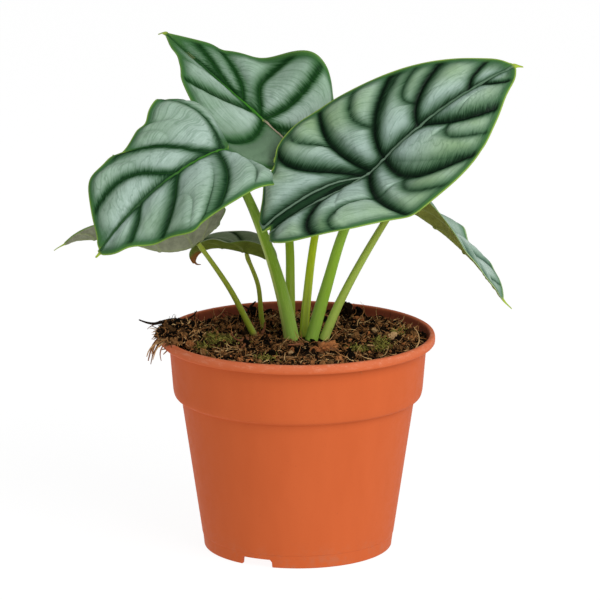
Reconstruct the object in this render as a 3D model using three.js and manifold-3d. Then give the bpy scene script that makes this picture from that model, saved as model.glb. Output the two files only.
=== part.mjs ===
// A young silver-leaved alocasia growing in a terracotta-coloured plastic nursery pot.
// Millimetres and degrees, +Z up, origin at the centre of the pot's underside.
// The pot is one moulded shell, the peat fills it, and the short stem stands in the peat.
// Seven stalks leave the stem, and each carries one quilted, shield-shaped blade.

import * as THREE from 'three';
import { mergeVertices } from 'three/addons/utils/BufferGeometryUtils.js';
import Module from 'manifold-3d';

const wasm = await Module();
wasm.setup();

// ---------------------------------------------------------------- driving dimensions

const CLEARANCE = 0.3; // air between two pieces that touch

const POT = {
  height: 95.5,
  lipRadius: 60, // outside of the rolled lip, a 12 cm pot
  lipDepth: 4.3,
  mouthRadius: 57.6, // inside of the lip
  bandTopRadius: 56.3,
  bandFootRadius: 54.6,
  bandFootHeight: 70.4,
  neckRadius: 51.1, // where the tapered wall meets the band
  neckHeight: 66.6,
  stepRadius: 42.1, // faint step above the foot
  stepHeight: 5.8,
  footRadius: 41.3,
  wall: 1.2,
  floorUnder: 4.2, // underside of the raised floor
  floorTop: 5.6,
  footRingWidth: 2.4,
  padRadius: 13, // flat pad in the middle that stands on the table with the foot ring
  sides: 60,
};
const DRAIN = { count: 6, first: 30, radius: 3.2, ringRadius: 27, sides: 10 };
const NOTCH = { count: 3, first: -116, width: 15, topWidth: 13, height: 3.6, depth: 9 };

const SOIL = {
  level: 92.6,
  wallShare: 0.95, // share of the mouth's radius where the bed's height by the wall is read
  fall: 0.02, // the surface drops a little towards the back
  roughness: 0.75,
  mound: { x: -47, y: -8, height: 3.6, spread: 13 },
  spokes: 40,
  rings: [0.14, 0.32, 0.5, 0.67, 0.82, 0.93, 1],
};
const CLUMP = { x: -51.5, y: -8, z: 97, sizeX: 10.5, sizeY: 16, sizeZ: 4.8, roughness: 0.12 };
const CLODS = [
  { x: 22, y: 44, z: 92.6, size: 3.2 },
  { x: 22, y: -38, z: 93.6, size: 3.6 },
  { x: -30, y: 26, z: 92.4, size: 4.2 },
  { x: 36, y: 16, z: 92.2, size: 3.4 },
  { x: -8, y: -32, z: 93.2, size: 4.4 },
  { x: 3, y: 38, z: 92, size: 3.8 },
];
const CROWN = {
  x: 3.7,
  y: 1,
  spreadX: 12,
  spreadY: 9.8,
  top: 91.4,
  bottom: 64,
  sides: 20,
  hole: 60, // height of the post of peat that makes way for the crown, well past the surface
  holeSides: 24,
};
const STALK_SIDES = 8;
const STALK_STEPS = 12;

// Blade sizes are along the surface. 'front' runs from the stalk to the tip, 'rear' from the
// stalk to the back of the lobes, 'widest' is the place of the greatest width, and 'notch' is
// the depth of the cut between the lobes, which end at 'lobeEnd' of the rear.
// 'heading' is the tip's angle from +X seen from above, 'pitch' its rise and 'roll' lifts the
// left half. 'fold' lifts a half about the midrib, 'droop' bends the blade along it, and 'kink'
// bends it at the stalk, over its own 'kinkLength' to either side where one is given.
// 'frontVeins' and 'rearVeins' are where side veins leave the midrib, as shares of 'front' and
// 'rear'. 'bumps' are soft waves of one half: side, place along the blade, length, lift, and
// extra width. 'stalk' is the stalk's path from its foot upwards.
const BLADE = {
  thickness: 0.7,
  tailLength: 5,
  tailHalfWidth: 0.55,
  quilt: 0.05, // height of the swellings between the side veins, as a share of the half width
  veinEdge: 0.9, // share of the half width where the swellings die away
  midribShare: 0.022, // depth of the rib under the blade, as a share of the half width
  leanForward: 0.35, // how far a side vein leans to the tip, as a share of the half width
  leanBack: 0.65, // how far a rear vein leans to the lobe, as a share of the rear
  turn: 0.5, // how far every side vein turns to the tip at the margin
  swing: 9, // half the stretch of midrib over which the veins swing from front to rear
  lobeRoundness: 2.4, // power that rounds the outline behind the widest place
  notchLean: 1.5, // how far the last row runs back along a lobe, in depths of the notch
  notchTurn: 0.5, // how far it comes forward again at the margin, in depths of the notch
  crestPower: 2.4, // flattens the top of a swelling between two rows of veins
  ribReach: 0.12, // share of the half width over which the swelling rises from the midrib
  kinkLength: 8, // half the stretch over which a blade kinks at the stalk
  columns: [0, 0.06, 0.24, 0.46, 0.68, 0.86, 1],
  rowsInPanel: 3,
  tailRows: 2,
};
const LEAVES = {
  a: {
    joint: [29.7, -22, 170.9], heading: 4, pitch: 49, roll: 34,
    front: 80, rear: 54, widthLeft: 39, widthRight: 38, notch: 4, lobeEnd: 0.985,
    foldLeft: 9, foldRight: 12, droopFront: 34, droopPower: 1, droopRear: 32, kink: 44, twist: 10,
    taperLeft: 0.84, taperRight: 0.66, taperStart: 1.6, widest: 0,
    frontVeins: [0.86, 0.64, 0.37, 0.13, 0.01], rearVeins: [0.2, 0.6],
    bumps: [
      [-1, 0.48, 0.2, -7, 0], [-1, 0.545, 0.085, 0, 3.4], [-1, 0.59, 0.035, 0, 3.2],
      [1, 0.93, 0.12, 0, -10], [1, 0.76, 0.06, 0, -6], [1, 0.637, 0.03, 0, 3.8], [1, 0.12, 0.1, 0, 1],
    ],
    stalk: [[5.8, -3, 92.4], [11.8, -5, 114.8], [19.5, -12, 142.7]],
    stalkFoot: 2.8, stalkTop: 1.8,
  },
  b: {
    joint: [-31.7, -22, 181.9], heading: 214.2, pitch: -12, roll: -18,
    front: 73.6, rear: 13, widthLeft: 33, widthRight: 35, notch: 9, lobeEnd: 0.9,
    foldLeft: -1, foldRight: 12, droopFront: 48, droopPower: 1, droopRear: 24, kink: -34, twist: 0,
    taperLeft: 0.6, taperRight: 0.6, taperStart: 1.6, widest: 0,
    frontVeins: [0.84, 0.62, 0.4, 0.2, 0.04], rearVeins: [],
    bumps: [
      [-1, 0.88, 0.06, -2, -5], [-1, 1, 0.07, 2, 1], [-1, 0.6, 0.14, 0, 4.8], [-1, 0.2, 0.16, 0, -4.2],
      [1, 0.54, 0.16, -4, 1.2], [1, 0.8, 0.12, 0, 7.5], [1, 0.4, 0.14, 0, -2.4],
    ],
    stalk: [[-2.7, -2, 92.6], [-8.2, -6, 119], [-15.1, -12, 142.2], [-21.9, -17, 160.2]],
    stalkFoot: 3.3, stalkTop: 1.6,
  },
  c: {
    joint: [-15.7, 24, 186.1], heading: 148, pitch: 33, roll: -21,
    front: 60, rear: 28, widthLeft: 36, widthRight: 30, notch: 7, lobeEnd: 0.97,
    foldLeft: 15, foldRight: 15, droopFront: 0, droopPower: 1, droopRear: 10, kink: 0, twist: 0,
    taperLeft: 1.1, taperRight: 1, taperStart: 1.4, widest: -6,
    frontVeins: [0.82, 0.58, 0.32, 0.06], rearVeins: [0.45],
    bumps: [
      [-1, 0.8, 0.075, 13, 0], [-1, 0.62, 0.07, -5, 0],
      [1, 0.54, 0.15, 0, 5], [1, 0.5, 0.12, 0, -6.5], [1, 0.59, 0.06, 0, -1.6],
    ],
    stalk: [[-3.6, 5.6, 92.3], [-3.4, 8.6, 112.7], [-3.8, 12, 134.4], [-7.4, 17, 159.9]],
    stalkFoot: 2.2, stalkTop: 1.5,
  },
  d: {
    joint: [43.2, 9, 151.6], heading: 5, pitch: -27, roll: -20,
    front: 64, rear: 21, widthLeft: 27, widthRight: 27, notch: 6, lobeEnd: 0.96,
    foldLeft: 6, foldRight: 6, droopFront: 34, droopPower: 1, droopRear: 0, kink: 0, twist: 31,
    taperLeft: 0.7, taperRight: 0.7, taperStart: 1.6, widest: 0,
    frontVeins: [0.82, 0.58, 0.32, 0.06], rearVeins: [0.5],
    bumps: [
      [1, 0.7, 0.07, 4.8, 0], [1, 0.41, 0.06, 1, 0], [1, 0.25, 0.22, 1.2, 0],
      [-1, 0.66, 0.1, -1.2, 0], [-1, 0.2, 0.15, 0.8, 0],
    ],
    stalk: [[11.2, -1, 92.5], [18.3, 0, 109.3], [27.5, 3, 126.5], [39.5, 7, 146]],
    stalkFoot: 2.2, stalkTop: 1.5,
  },
  e: {
    joint: [-43.8, -8, 138], heading: 182, pitch: 19.5, roll: 26,
    front: 60, rear: 18, widthLeft: 24, widthRight: 24, notch: 5, lobeEnd: 0.96,
    foldLeft: 21, foldRight: 18, droopFront: 44, droopPower: 3, droopRear: 48, twist: 0,
    kink: 112, kinkLength: 27,
    taperLeft: 0.7, taperRight: 0.7, taperStart: 1.6, widest: 0,
    frontVeins: [0.8, 0.55, 0.3, 0.06], rearVeins: [0.5],
    bumps: [],
    stalk: [[-10.3, 1.5, 79], [-18.4, 2, 92.5], [-29.6, -2, 115.4]],
    stalkFoot: 1.7, stalkTop: 1,
  },
  f: {
    joint: [-22.4, 19, 127.1], heading: 180, pitch: 13, roll: 5,
    front: 26.5, rear: 14, widthLeft: 13, widthRight: 13, notch: 4, lobeEnd: 0.96,
    foldLeft: 31, foldRight: 31, droopFront: 104, droopPower: 3, droopRear: 18, kink: 0, twist: 0,
    taperLeft: 0.55, taperRight: 0.55, taperStart: 1.6, widest: 0,
    frontVeins: [0.7, 0.4, 0.08], rearVeins: [],
    bumps: [[1, 0.67, 0.06, -2, 0], [1, 0.3, 0.2, 1.5, 0], [-1, 0.8, 0.1, 1.2, 0]],
    stalk: [[-6.6, 9.4, 77], [-13, 16, 86], [-15.8, 19, 96], [-17.6, 19, 112.3]],
    stalkFoot: 1.3, stalkTop: 0.9,
  },
  g: {
    joint: [14, 22, 163.4], heading: 52, pitch: 20, roll: 0,
    front: 34, rear: 12, widthLeft: 12, widthRight: 12, notch: 3, lobeEnd: 0.96,
    foldLeft: 30, foldRight: 30, droopFront: 30, droopPower: 1, droopRear: 20, kink: 0, twist: 0,
    taperLeft: 0.7, taperRight: 0.7, taperStart: 1.6, widest: 0,
    frontVeins: [0.7, 0.4, 0.08], rearVeins: [],
    bumps: [],
    stalk: [[2.6, 4.9, 92.2], [4.2, 8, 111.7], [7.5, 13.5, 135.7]],
    stalkFoot: 2.1, stalkTop: 1.4,
  },
};

// ---------------------------------------------------------------- colours and helpers

const plastic = () => new THREE.MeshStandardMaterial({ color: 0xcb6136, roughness: 0.45 });
const peat = () => new THREE.MeshStandardMaterial({ color: 0x3a2a1e, roughness: 1 });
const cork = () => new THREE.MeshStandardMaterial({ color: 0x8a6a48, roughness: 0.9 });
const stalkGreen = () => new THREE.MeshStandardMaterial({ color: 0x6f9f3c, roughness: 0.5 });
const silverGreen = () => new THREE.MeshStandardMaterial({ color: 0x7f9f86, roughness: 0.45 });

const radians = THREE.MathUtils.degToRad;
const clamp = THREE.MathUtils.clamp;
const lerp = THREE.MathUtils.lerp;

// A smooth step from 0 to 1 while x goes from a to b.
function ease(a, b, x) {
  const u = clamp((x - a) / (b - a), 0, 1);
  return u * u * (3 - 2 * u);
}

function bareGeometry(geometry) {
  const bare = geometry.clone();
  bare.deleteAttribute('normal');
  bare.deleteAttribute('uv');
  return mergeVertices(bare, 1e-4);
}

function toSolid(geometry) {
  const merged = bareGeometry(geometry);
  return new wasm.Manifold(new wasm.Mesh({
    numProp: 3,
    vertProperties: Float32Array.from(merged.attributes.position.array),
    triVerts: Uint32Array.from(merged.index.array),
  }));
}

function fromSolid(solid) {
  const mesh = solid.getMesh();
  const geometry = new THREE.BufferGeometry();
  geometry.setAttribute('position', new THREE.BufferAttribute(mesh.vertProperties, 3));
  geometry.setIndex(new THREE.BufferAttribute(mesh.triVerts, 1));
  return geometry;
}

function largestPiece(solid) {
  const pieces = solid.decompose();
  return pieces.reduce((best, piece) => (piece.volume() > best.volume() ? piece : best));
}

// A closed turned shape about the Z axis, from a profile of [radius, height] pairs.
function turned(profile, sides) {
  const points = profile.map(([radius, height]) => new THREE.Vector2(radius, height));
  return new THREE.LatheGeometry(points, sides).rotateX(Math.PI / 2);
}

const group = new THREE.Group();

function addPiece(name, geometry, material) {
  const mesh = new THREE.Mesh(geometry, material);
  mesh.name = name;
  group.add(mesh);
  return mesh;
}

// ---------------------------------------------------------------- pot

// Radius of the pot's inner wall at a height, by straight runs between its corners.
const INNER_WALL = [
  [POT.footRadius - POT.wall, POT.floorTop],
  [POT.neckRadius - POT.wall, POT.neckHeight + 1],
  [POT.bandFootRadius - POT.wall, POT.bandFootHeight + 1],
  [POT.bandTopRadius - POT.wall, POT.height - 6],
  [POT.mouthRadius - 0.5, POT.height - 3],
  [POT.mouthRadius, POT.height - 0.6],
];

function innerRadius(height) {
  let radius = INNER_WALL[0][0];
  for (let i = 1; i < INNER_WALL.length; i += 1) {
    const [r0, z0] = INNER_WALL[i - 1];
    const [r1, z1] = INNER_WALL[i];
    if (height >= z0) radius = lerp(r0, r1, clamp((height - z0) / (z1 - z0), 0, 1));
  }
  return radius;
}

function potProfile() {
  const lipFoot = POT.height - POT.lipDepth;
  const underside = [
    [0, 0], [POT.padRadius, 0], [POT.padRadius + 1, POT.floorUnder],
    [POT.footRadius - POT.footRingWidth - 0.4, POT.floorUnder],
    [POT.footRadius - POT.footRingWidth, 0], [POT.footRadius - 0.5, 0],
  ];
  const outside = [
    [POT.footRadius, 0.6],
    [POT.stepRadius - 0.25, POT.stepHeight],
    [POT.stepRadius, POT.stepHeight + 0.2],
    [POT.neckRadius, POT.neckHeight],
    [POT.bandFootRadius - 1.1, POT.neckHeight + 1],
    [POT.bandFootRadius - 0.2, POT.neckHeight + 2.3],
    [POT.bandFootRadius, POT.bandFootHeight],
    [POT.bandTopRadius, lipFoot],
    [POT.lipRadius - 0.7, lipFoot + 0.1],
    [POT.lipRadius, lipFoot + 1.2],
    [POT.lipRadius, POT.height - 1.3],
    [POT.lipRadius - 0.7, POT.height - 0.3],
    [POT.lipRadius - 1.5, POT.height],
  ];
  const inside = INNER_WALL.slice().reverse();
  return [...underside, ...outside, ...inside, [0, POT.floorTop]];
}

// A block that stands across the foot ring, narrower at its top, to cut one drain notch.
function notchCutter() {
  const outline = new THREE.Shape();
  outline.moveTo(-NOTCH.width / 2, -1);
  outline.lineTo(NOTCH.width / 2, -1);
  outline.lineTo(NOTCH.topWidth / 2, NOTCH.height);
  outline.lineTo(-NOTCH.topWidth / 2, NOTCH.height);
  const block = new THREE.ExtrudeGeometry(outline, { depth: NOTCH.depth, bevelEnabled: false });
  block.rotateX(Math.PI / 2);
  block.rotateZ(Math.PI / 2);
  return block.translate(POT.footRadius - NOTCH.depth + 2, 0, 0);
}

function makePot() {
  let pot = toSolid(turned(potProfile(), POT.sides));
  for (let i = 0; i < DRAIN.count; i += 1) {
    const angle = radians(DRAIN.first + (360 / DRAIN.count) * i);
    const hole = new THREE.CylinderGeometry(DRAIN.radius, DRAIN.radius, 8, DRAIN.sides);
    hole.rotateX(Math.PI / 2);
    hole.translate(DRAIN.ringRadius * Math.cos(angle), DRAIN.ringRadius * Math.sin(angle), 5);
    pot = pot.subtract(toSolid(hole));
  }
  for (let i = 0; i < NOTCH.count; i += 1) {
    const angle = radians(NOTCH.first + (360 / NOTCH.count) * i);
    pot = pot.subtract(toSolid(notchCutter().rotateZ(angle)));
  }
  return fromSolid(pot);
}

// ---------------------------------------------------------------- stalks

// Scales a tube's rings about its path, from the foot's radius to the top's.
function taper(geometry, stations, footRadius, topRadius) {
  const position = geometry.attributes.position;
  const vertex = new THREE.Vector3();
  for (let i = 0; i < position.count; i += 1) {
    vertex.fromBufferAttribute(position, i);
    let nearest = 0;
    stations.forEach((station, k) => {
      if (vertex.distanceTo(station) < vertex.distanceTo(stations[nearest])) nearest = k;
    });
    const radius = lerp(footRadius, topRadius, nearest / (stations.length - 1));
    vertex.sub(stations[nearest]).setLength(radius).add(stations[nearest]);
    position.setXYZ(i, vertex.x, vertex.y, vertex.z);
  }
}

// A tube along a curve whose radius shrinks from the foot to the top.
function tube(curve, footRadius, topRadius, steps) {
  const section = new THREE.Shape();
  for (let k = 0; k < STALK_SIDES; k += 1) {
    const angle = (2 * Math.PI * k) / STALK_SIDES;
    if (k === 0) section.moveTo(1, 0);
    else section.lineTo(Math.cos(angle), Math.sin(angle));
  }
  const options = { steps, extrudePath: curve, bevelEnabled: false };
  const geometry = new THREE.ExtrudeGeometry(section, options);
  taper(geometry, curve.getSpacedPoints(steps), footRadius, topRadius);
  return geometry;
}

function stalkCurve(leaf) {
  const points = leaf.stalk.map((point) => new THREE.Vector3(...point));
  const joint = new THREE.Vector3(...leaf.joint);
  const down = bladeNormal(leaf).negate();
  const meanWidth = (leaf.widthLeft + leaf.widthRight) / 2;
  const gap = BLADE.thickness / 2 + BLADE.midribShare * meanWidth + CLEARANCE;
  points.push(joint.clone().addScaledVector(down, gap + 2 * leaf.stalkTop));
  points.push(joint.clone().addScaledVector(down, gap));
  return new THREE.CatmullRomCurve3(points);
}

function makeStalk(leaf) {
  return tube(stalkCurve(leaf), leaf.stalkFoot, leaf.stalkTop, STALK_STEPS);
}

// ---------------------------------------------------------------- blades

// Half the blade's width at a distance in front of (or behind) the stalk, on one side.
function marginHalfWidth(leaf, x, side) {
  const width = side > 0 ? leaf.widthLeft : leaf.widthRight;
  const power = side > 0 ? leaf.taperLeft : leaf.taperRight;
  const ahead = x - leaf.widest;
  const frontShare = clamp(ahead / (leaf.front - leaf.widest), 0, 1);
  const rearShare = clamp(-ahead / (leaf.rear + leaf.widest), 0, 1);
  const lobe = Math.sqrt(1 - rearShare ** BLADE.lobeRoundness);
  return width * (1 - frontShare ** leaf.taperStart) ** power * lobe;
}

// Where the cut between the lobes starts, behind the stalk.
function sinusDepth(leaf) {
  return leaf.rear * leaf.lobeEnd - leaf.notch;
}

// A point of the flat blade. 'along' is where its row leaves the midrib, and 'across' runs from
// -1 at the right margin to 1 at the left one. Each row follows the way of the side veins: out
// from the midrib, leaning to the tip in front and to the lobes behind, then turning forward.
function flatPoint(leaf, along, across) {
  const side = Math.sign(across);
  const a = Math.abs(across);
  const sinus = sinusDepth(leaf);
  const near = Math.min(BLADE.swing, sinus);
  const width = (leaf.widthLeft + leaf.widthRight) / 2;
  const toTip = 1 - clamp(along / leaf.front, 0, 1) ** 2;
  const behind = 1 - ease(-near, BLADE.swing, along);
  const atNotch = 1 - ease(-sinus, -near / 2, along);
  const lean = BLADE.leanForward * width * toTip * (1 - behind)
    - BLADE.leanBack * leaf.rear * behind * (1 - atNotch) - BLADE.notchLean * leaf.notch * atNotch;
  const turn = BLADE.turn * width * toTip * (1 - atNotch) + BLADE.notchTurn * leaf.notch * atNotch;
  const place = placeAlong(leaf, along);
  let halfWidth = marginHalfWidth(leaf, along + lean + turn, side);
  leaf.bumps.forEach(([bumpSide, bumpPlace, length, , extra]) => {
    if (side === bumpSide) halfWidth += extra * Math.exp(-(((place - bumpPlace) / length) ** 2));
  });
  const tail = clamp((along - leaf.front) / BLADE.tailLength, 0, 1);
  halfWidth += BLADE.tailHalfWidth * (1 - tail / 2);
  return { x: along + lean * a + turn * a ** 3, y: halfWidth * across };
}

// 0 at the tip, 1 at the notch.
function placeAlong(leaf, along) {
  return (leaf.front - along) / (leaf.front + sinusDepth(leaf));
}

// Height of a bent, folded and waved blade above its flat plane, before it is bent lengthwise.
function lift(leaf, along, across, swelling) {
  const side = Math.sign(across);
  let height = swelling;
  leaf.bumps.forEach(([bumpSide, bumpPlace, length, rise]) => {
    const distance = (placeAlong(leaf, along) - bumpPlace) / length;
    if (side === bumpSide) height += rise * across ** 2 * Math.exp(-(distance ** 2));
  });
  return height;
}

// The midrib's angle above the blade's plane at a distance from the stalk.
function midribAngle(leaf, x) {
  const frontShare = Math.max(x, 0) / leaf.front;
  const rearShare = Math.max(-x, 0) / leaf.rear;
  const reach = leaf.kinkLength ?? BLADE.kinkLength;
  const kink = leaf.kink * ease(-reach, reach, -x);
  return radians(-leaf.droopFront * frontShare ** leaf.droopPower + leaf.droopRear * rearShare - kink);
}

// Bends the folded blade along its midrib, twists it, and puts it on its stalk.
function bentPoint(leaf, flat, height, side) {
  const fold = radians(side > 0 ? leaf.foldLeft : leaf.foldRight);
  const lateral = flat.y * Math.cos(fold);
  const raised = Math.abs(flat.y) * Math.sin(fold) + height;
  const steps = 24;
  const rib = new THREE.Vector3();
  for (let k = 0; k < steps; k += 1) {
    const angle = midribAngle(leaf, (flat.x * (k + 0.5)) / steps);
    rib.x += (Math.cos(angle) * flat.x) / steps;
    rib.z += (Math.sin(angle) * flat.x) / steps;
  }
  const twist = radians((leaf.twist * flat.x) / leaf.front);
  const y = lateral * Math.cos(twist) - raised * Math.sin(twist);
  const z = lateral * Math.sin(twist) + raised * Math.cos(twist);
  const angle = midribAngle(leaf, flat.x);
  return rib.add(new THREE.Vector3(-Math.sin(angle) * z, y, Math.cos(angle) * z))
    .applyMatrix4(placement(leaf));
}

function placement(leaf) {
  return new THREE.Matrix4().makeTranslation(...leaf.joint)
    .multiply(new THREE.Matrix4().makeRotationZ(radians(leaf.heading)))
    .multiply(new THREE.Matrix4().makeRotationY(-radians(leaf.pitch)))
    .multiply(new THREE.Matrix4().makeRotationX(radians(leaf.roll)));
}

// The blade's upward direction where the stalk meets it.
function bladeNormal(leaf) {
  const angle = midribAngle(leaf, 0);
  return new THREE.Vector3(-Math.sin(angle), 0, Math.cos(angle)).transformDirection(placement(leaf));
}

// Rows of the blade's grid: the tail's, then those of each panel between two side veins. A row
// on a vein lies in the groove, and the ones between them rise over the swelling.
function bladeRows(leaf) {
  const sinus = sinusDepth(leaf);
  const veins = [
    leaf.front, ...leaf.frontVeins.map((share) => share * leaf.front),
    ...leaf.rearVeins.map((share) => -share * sinus), -sinus,
  ];
  const rows = [];
  for (let k = BLADE.tailRows; k > 0; k -= 1) {
    rows.push({ along: leaf.front + (BLADE.tailLength * k) / BLADE.tailRows, crest: 0 });
  }
  for (let i = 1; i < veins.length; i += 1) {
    for (let k = 0; k < BLADE.rowsInPanel; k += 1) {
      const share = k / BLADE.rowsInPanel;
      const crest = 1 - Math.abs(2 * share - 1) ** BLADE.crestPower;
      rows.push({ along: lerp(veins[i - 1], veins[i], share), crest });
    }
  }
  rows.push({ along: -sinus, crest: 0 });
  return rows;
}

function swellingAt(leaf, row, across) {
  const width = (leaf.widthLeft + leaf.widthRight) / 2;
  const fromMidrib = 1 - Math.exp(-((Math.abs(across) / BLADE.ribReach) ** 1.5));
  const toMargin = 1 - ease(BLADE.veinEdge - 0.1, 1, Math.abs(across));
  const toTip = 1 - ease(0.6 * leaf.front, leaf.front, row.along);
  return BLADE.quilt * width * row.crest * fromMidrib * toMargin * toTip;
}

// The grid's points on the blade's middle surface.
function middleGrid(leaf) {
  const right = BLADE.columns.slice(1).reverse().map((share) => -share);
  const columns = [...right, ...BLADE.columns];
  return bladeRows(leaf).map((row) => columns.map((across) => {
    const flat = flatPoint(leaf, row.along, across);
    const height = lift(leaf, row.along, across, swellingAt(leaf, row, across));
    const width = (leaf.widthLeft + leaf.widthRight) / 2;
    const ribFade = 1 - ease(0.5 * leaf.front, leaf.front, row.along);
    const rib = across === 0 ? BLADE.midribShare * width * ribFade : 0;
    return { point: bentPoint(leaf, flat, height, Math.sign(across)), rib };
  }));
}

function gridNormal(grid, i, j) {
  const at = (r, c) => grid[clamp(r, 0, grid.length - 1)][clamp(c, 0, grid[0].length - 1)].point;
  const backward = at(i + 1, j).clone().sub(at(i - 1, j));
  const leftward = at(i, j + 1).clone().sub(at(i, j - 1));
  return leftward.cross(backward).normalize();
}

// A closed sheet: the middle surface moved up and down by half the thickness, with a wall
// round the margin. Both faces are split along the same diagonals.
function makeBlade(leaf) {
  const grid = middleGrid(leaf);
  const rowCount = grid.length;
  const columnCount = grid[0].length;
  const half = BLADE.thickness / 2;
  const positions = [];
  [1, -1].forEach((face) => grid.forEach((row, i) => row.forEach(({ point, rib }, j) => {
    const distance = face > 0 ? half : -half - rib;
    const vertex = point.clone().addScaledVector(gridNormal(grid, i, j), distance);
    positions.push(vertex.x, vertex.y, vertex.z);
  })));
  const top = (i, j) => i * columnCount + j;
  const under = (i, j) => rowCount * columnCount + top(i, j);
  const index = [];
  const quad = (a, b, c, d) => index.push(a, b, c, a, c, d);
  for (let i = 0; i < rowCount - 1; i += 1) {
    for (let j = 0; j < columnCount - 1; j += 1) {
      quad(top(i, j), top(i, j + 1), top(i + 1, j + 1), top(i + 1, j));
      index.push(under(i, j), under(i + 1, j + 1), under(i, j + 1));
      index.push(under(i, j), under(i + 1, j), under(i + 1, j + 1));
    }
    const last = columnCount - 1;
    quad(top(i, 0), top(i + 1, 0), under(i + 1, 0), under(i, 0));
    quad(top(i, last), under(i, last), under(i + 1, last), top(i + 1, last));
  }
  for (let j = 0; j < columnCount - 1; j += 1) {
    const last = rowCount - 1;
    quad(top(0, j), under(0, j), under(0, j + 1), top(0, j + 1));
    quad(top(last, j), top(last, j + 1), under(last, j + 1), under(last, j));
  }
  const geometry = new THREE.BufferGeometry();
  geometry.setAttribute('position', new THREE.Float32BufferAttribute(positions, 3));
  geometry.setIndex(index);
  return geometry;
}

// ---------------------------------------------------------------- soil and crown

// A gentle unevenness from a few crossing waves, about -1 to 1.
function unevenness(x, y) {
  return (Math.sin(0.31 * x + 1.3) * Math.cos(0.27 * y + 0.4)
    + 0.6 * Math.sin(0.53 * y - 0.38 * x) + 0.4 * Math.cos(0.71 * x + 0.45 * y)) / 1.6;
}

function soilHeight(x, y) {
  const { mound } = SOIL;
  const fromMound = Math.hypot(x - mound.x, y - mound.y) / mound.spread;
  return SOIL.level - SOIL.fall * y + SOIL.roughness * unevenness(x, y)
    + mound.height * Math.exp(-(fromMound ** 2));
}

// The peat's own body: a lumpy top, a side that keeps clear of the pot's wall, a flat bottom.
function soilBody() {
  const positions = [];
  const index = [];
  const corners = INNER_WALL.slice(1, 4).reverse().map(([, height]) => height);
  const levels = [...corners, POT.floorTop + CLEARANCE];
  const ringCount = SOIL.rings.length + levels.length;
  const centreTop = ringCount * SOIL.spokes;
  for (let ring = 0; ring < ringCount; ring += 1) {
    for (let k = 0; k < SOIL.spokes; k += 1) {
      const angle = (2 * Math.PI * k) / SOIL.spokes;
      const edge = SOIL.wallShare * POT.mouthRadius;
      const wallTop = soilHeight(edge * Math.cos(angle), edge * Math.sin(angle));
      const level = ring < SOIL.rings.length ? wallTop
        : Math.min(levels[ring - SOIL.rings.length], wallTop - 1);
      const share = ring < SOIL.rings.length ? SOIL.rings[ring] : 1;
      const radius = share * (innerRadius(level) * Math.cos(Math.PI / POT.sides) - CLEARANCE);
      const x = radius * Math.cos(angle);
      const y = radius * Math.sin(angle);
      const z = share < 1 ? soilHeight(x, y) : level;
      positions.push(x, y, z);
    }
  }
  positions.push(0, 0, soilHeight(0, 0), 0, 0, levels[levels.length - 1]);
  for (let k = 0; k < SOIL.spokes; k += 1) {
    const next = (k + 1) % SOIL.spokes;
    const lastRing = (ringCount - 1) * SOIL.spokes;
    index.push(centreTop, k, next, centreTop + 1, lastRing + next, lastRing + k);
    for (let ring = 0; ring < ringCount - 1; ring += 1) {
      const inner = ring * SOIL.spokes;
      const outer = inner + SOIL.spokes;
      index.push(inner + k, outer + k, outer + next, inner + k, outer + next, inner + next);
    }
  }
  const geometry = new THREE.BufferGeometry();
  geometry.setAttribute('position', new THREE.Float32BufferAttribute(positions, 3));
  geometry.setIndex(index);
  return geometry;
}

// A ball with an uneven skin, scaled to its three sizes.
function lump(x, y, z, sizeX, sizeY, sizeZ, detail, roughness) {
  const ball = bareGeometry(new THREE.IcosahedronGeometry(1, detail));
  const position = ball.attributes.position;
  for (let i = 0; i < position.count; i += 1) {
    const unit = new THREE.Vector3().fromBufferAttribute(position, i);
    const swell = 1 + roughness * unevenness(9 * unit.x + 5 * unit.z + x, 9 * unit.y - 4 * unit.z + y);
    position.setXYZ(i, x + sizeX * swell * unit.x, y + sizeY * swell * unit.y,
      z + sizeZ * swell * unit.z);
  }
  return ball;
}

// An upright oval post of soil removed for the crown, and tubes for the stalks that leave the
// crown under the surface.
function makeSoil() {
  const { x, y, z, sizeX, sizeY, sizeZ, roughness } = CLUMP;
  const lowest = z - sizeZ * (1 + roughness);
  const below = lowest - 5;
  const lipInside = innerRadius(lowest) * Math.cos(Math.PI / POT.sides) - CLEARANCE;
  const lipRoom = toSolid(turned([
    [lipInside, below], [POT.lipRadius + CLEARANCE, below],
    [POT.lipRadius + CLEARANCE, POT.height + CLEARANCE], [lipInside, POT.height + CLEARANCE],
    [lipInside, below],
  ], POT.sides));
  const clump = toSolid(lump(x, y, z, sizeX, sizeY, sizeZ, 4, roughness)).subtract(lipRoom);
  let soil = toSolid(soilBody()).add(clump);
  CLODS.forEach((clod) => {
    const ball = lump(clod.x, clod.y, clod.z, clod.size, clod.size * 0.85, clod.size * 0.7, 1, 0.1);
    soil = soil.add(toSolid(ball));
  });
  const post = new THREE.CylinderGeometry(1, 1, CROWN.hole, CROWN.holeSides).rotateX(Math.PI / 2);
  post.scale(CROWN.spreadX + CLEARANCE, CROWN.spreadY + CLEARANCE, 1);
  post.translate(CROWN.x, CROWN.y, CROWN.bottom - CLEARANCE + CROWN.hole / 2);
  soil = soil.subtract(toSolid(post));
  [LEAVES.e, LEAVES.f].forEach((leaf) => {
    const room = CLEARANCE / Math.cos(Math.PI / STALK_SIDES) + 0.1;
    const hole = tube(stalkCurve(leaf), leaf.stalkFoot + room, leaf.stalkTop + room, STALK_STEPS);
    soil = soil.subtract(toSolid(hole));
  });
  return fromSolid(largestPiece(soil));
}

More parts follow.
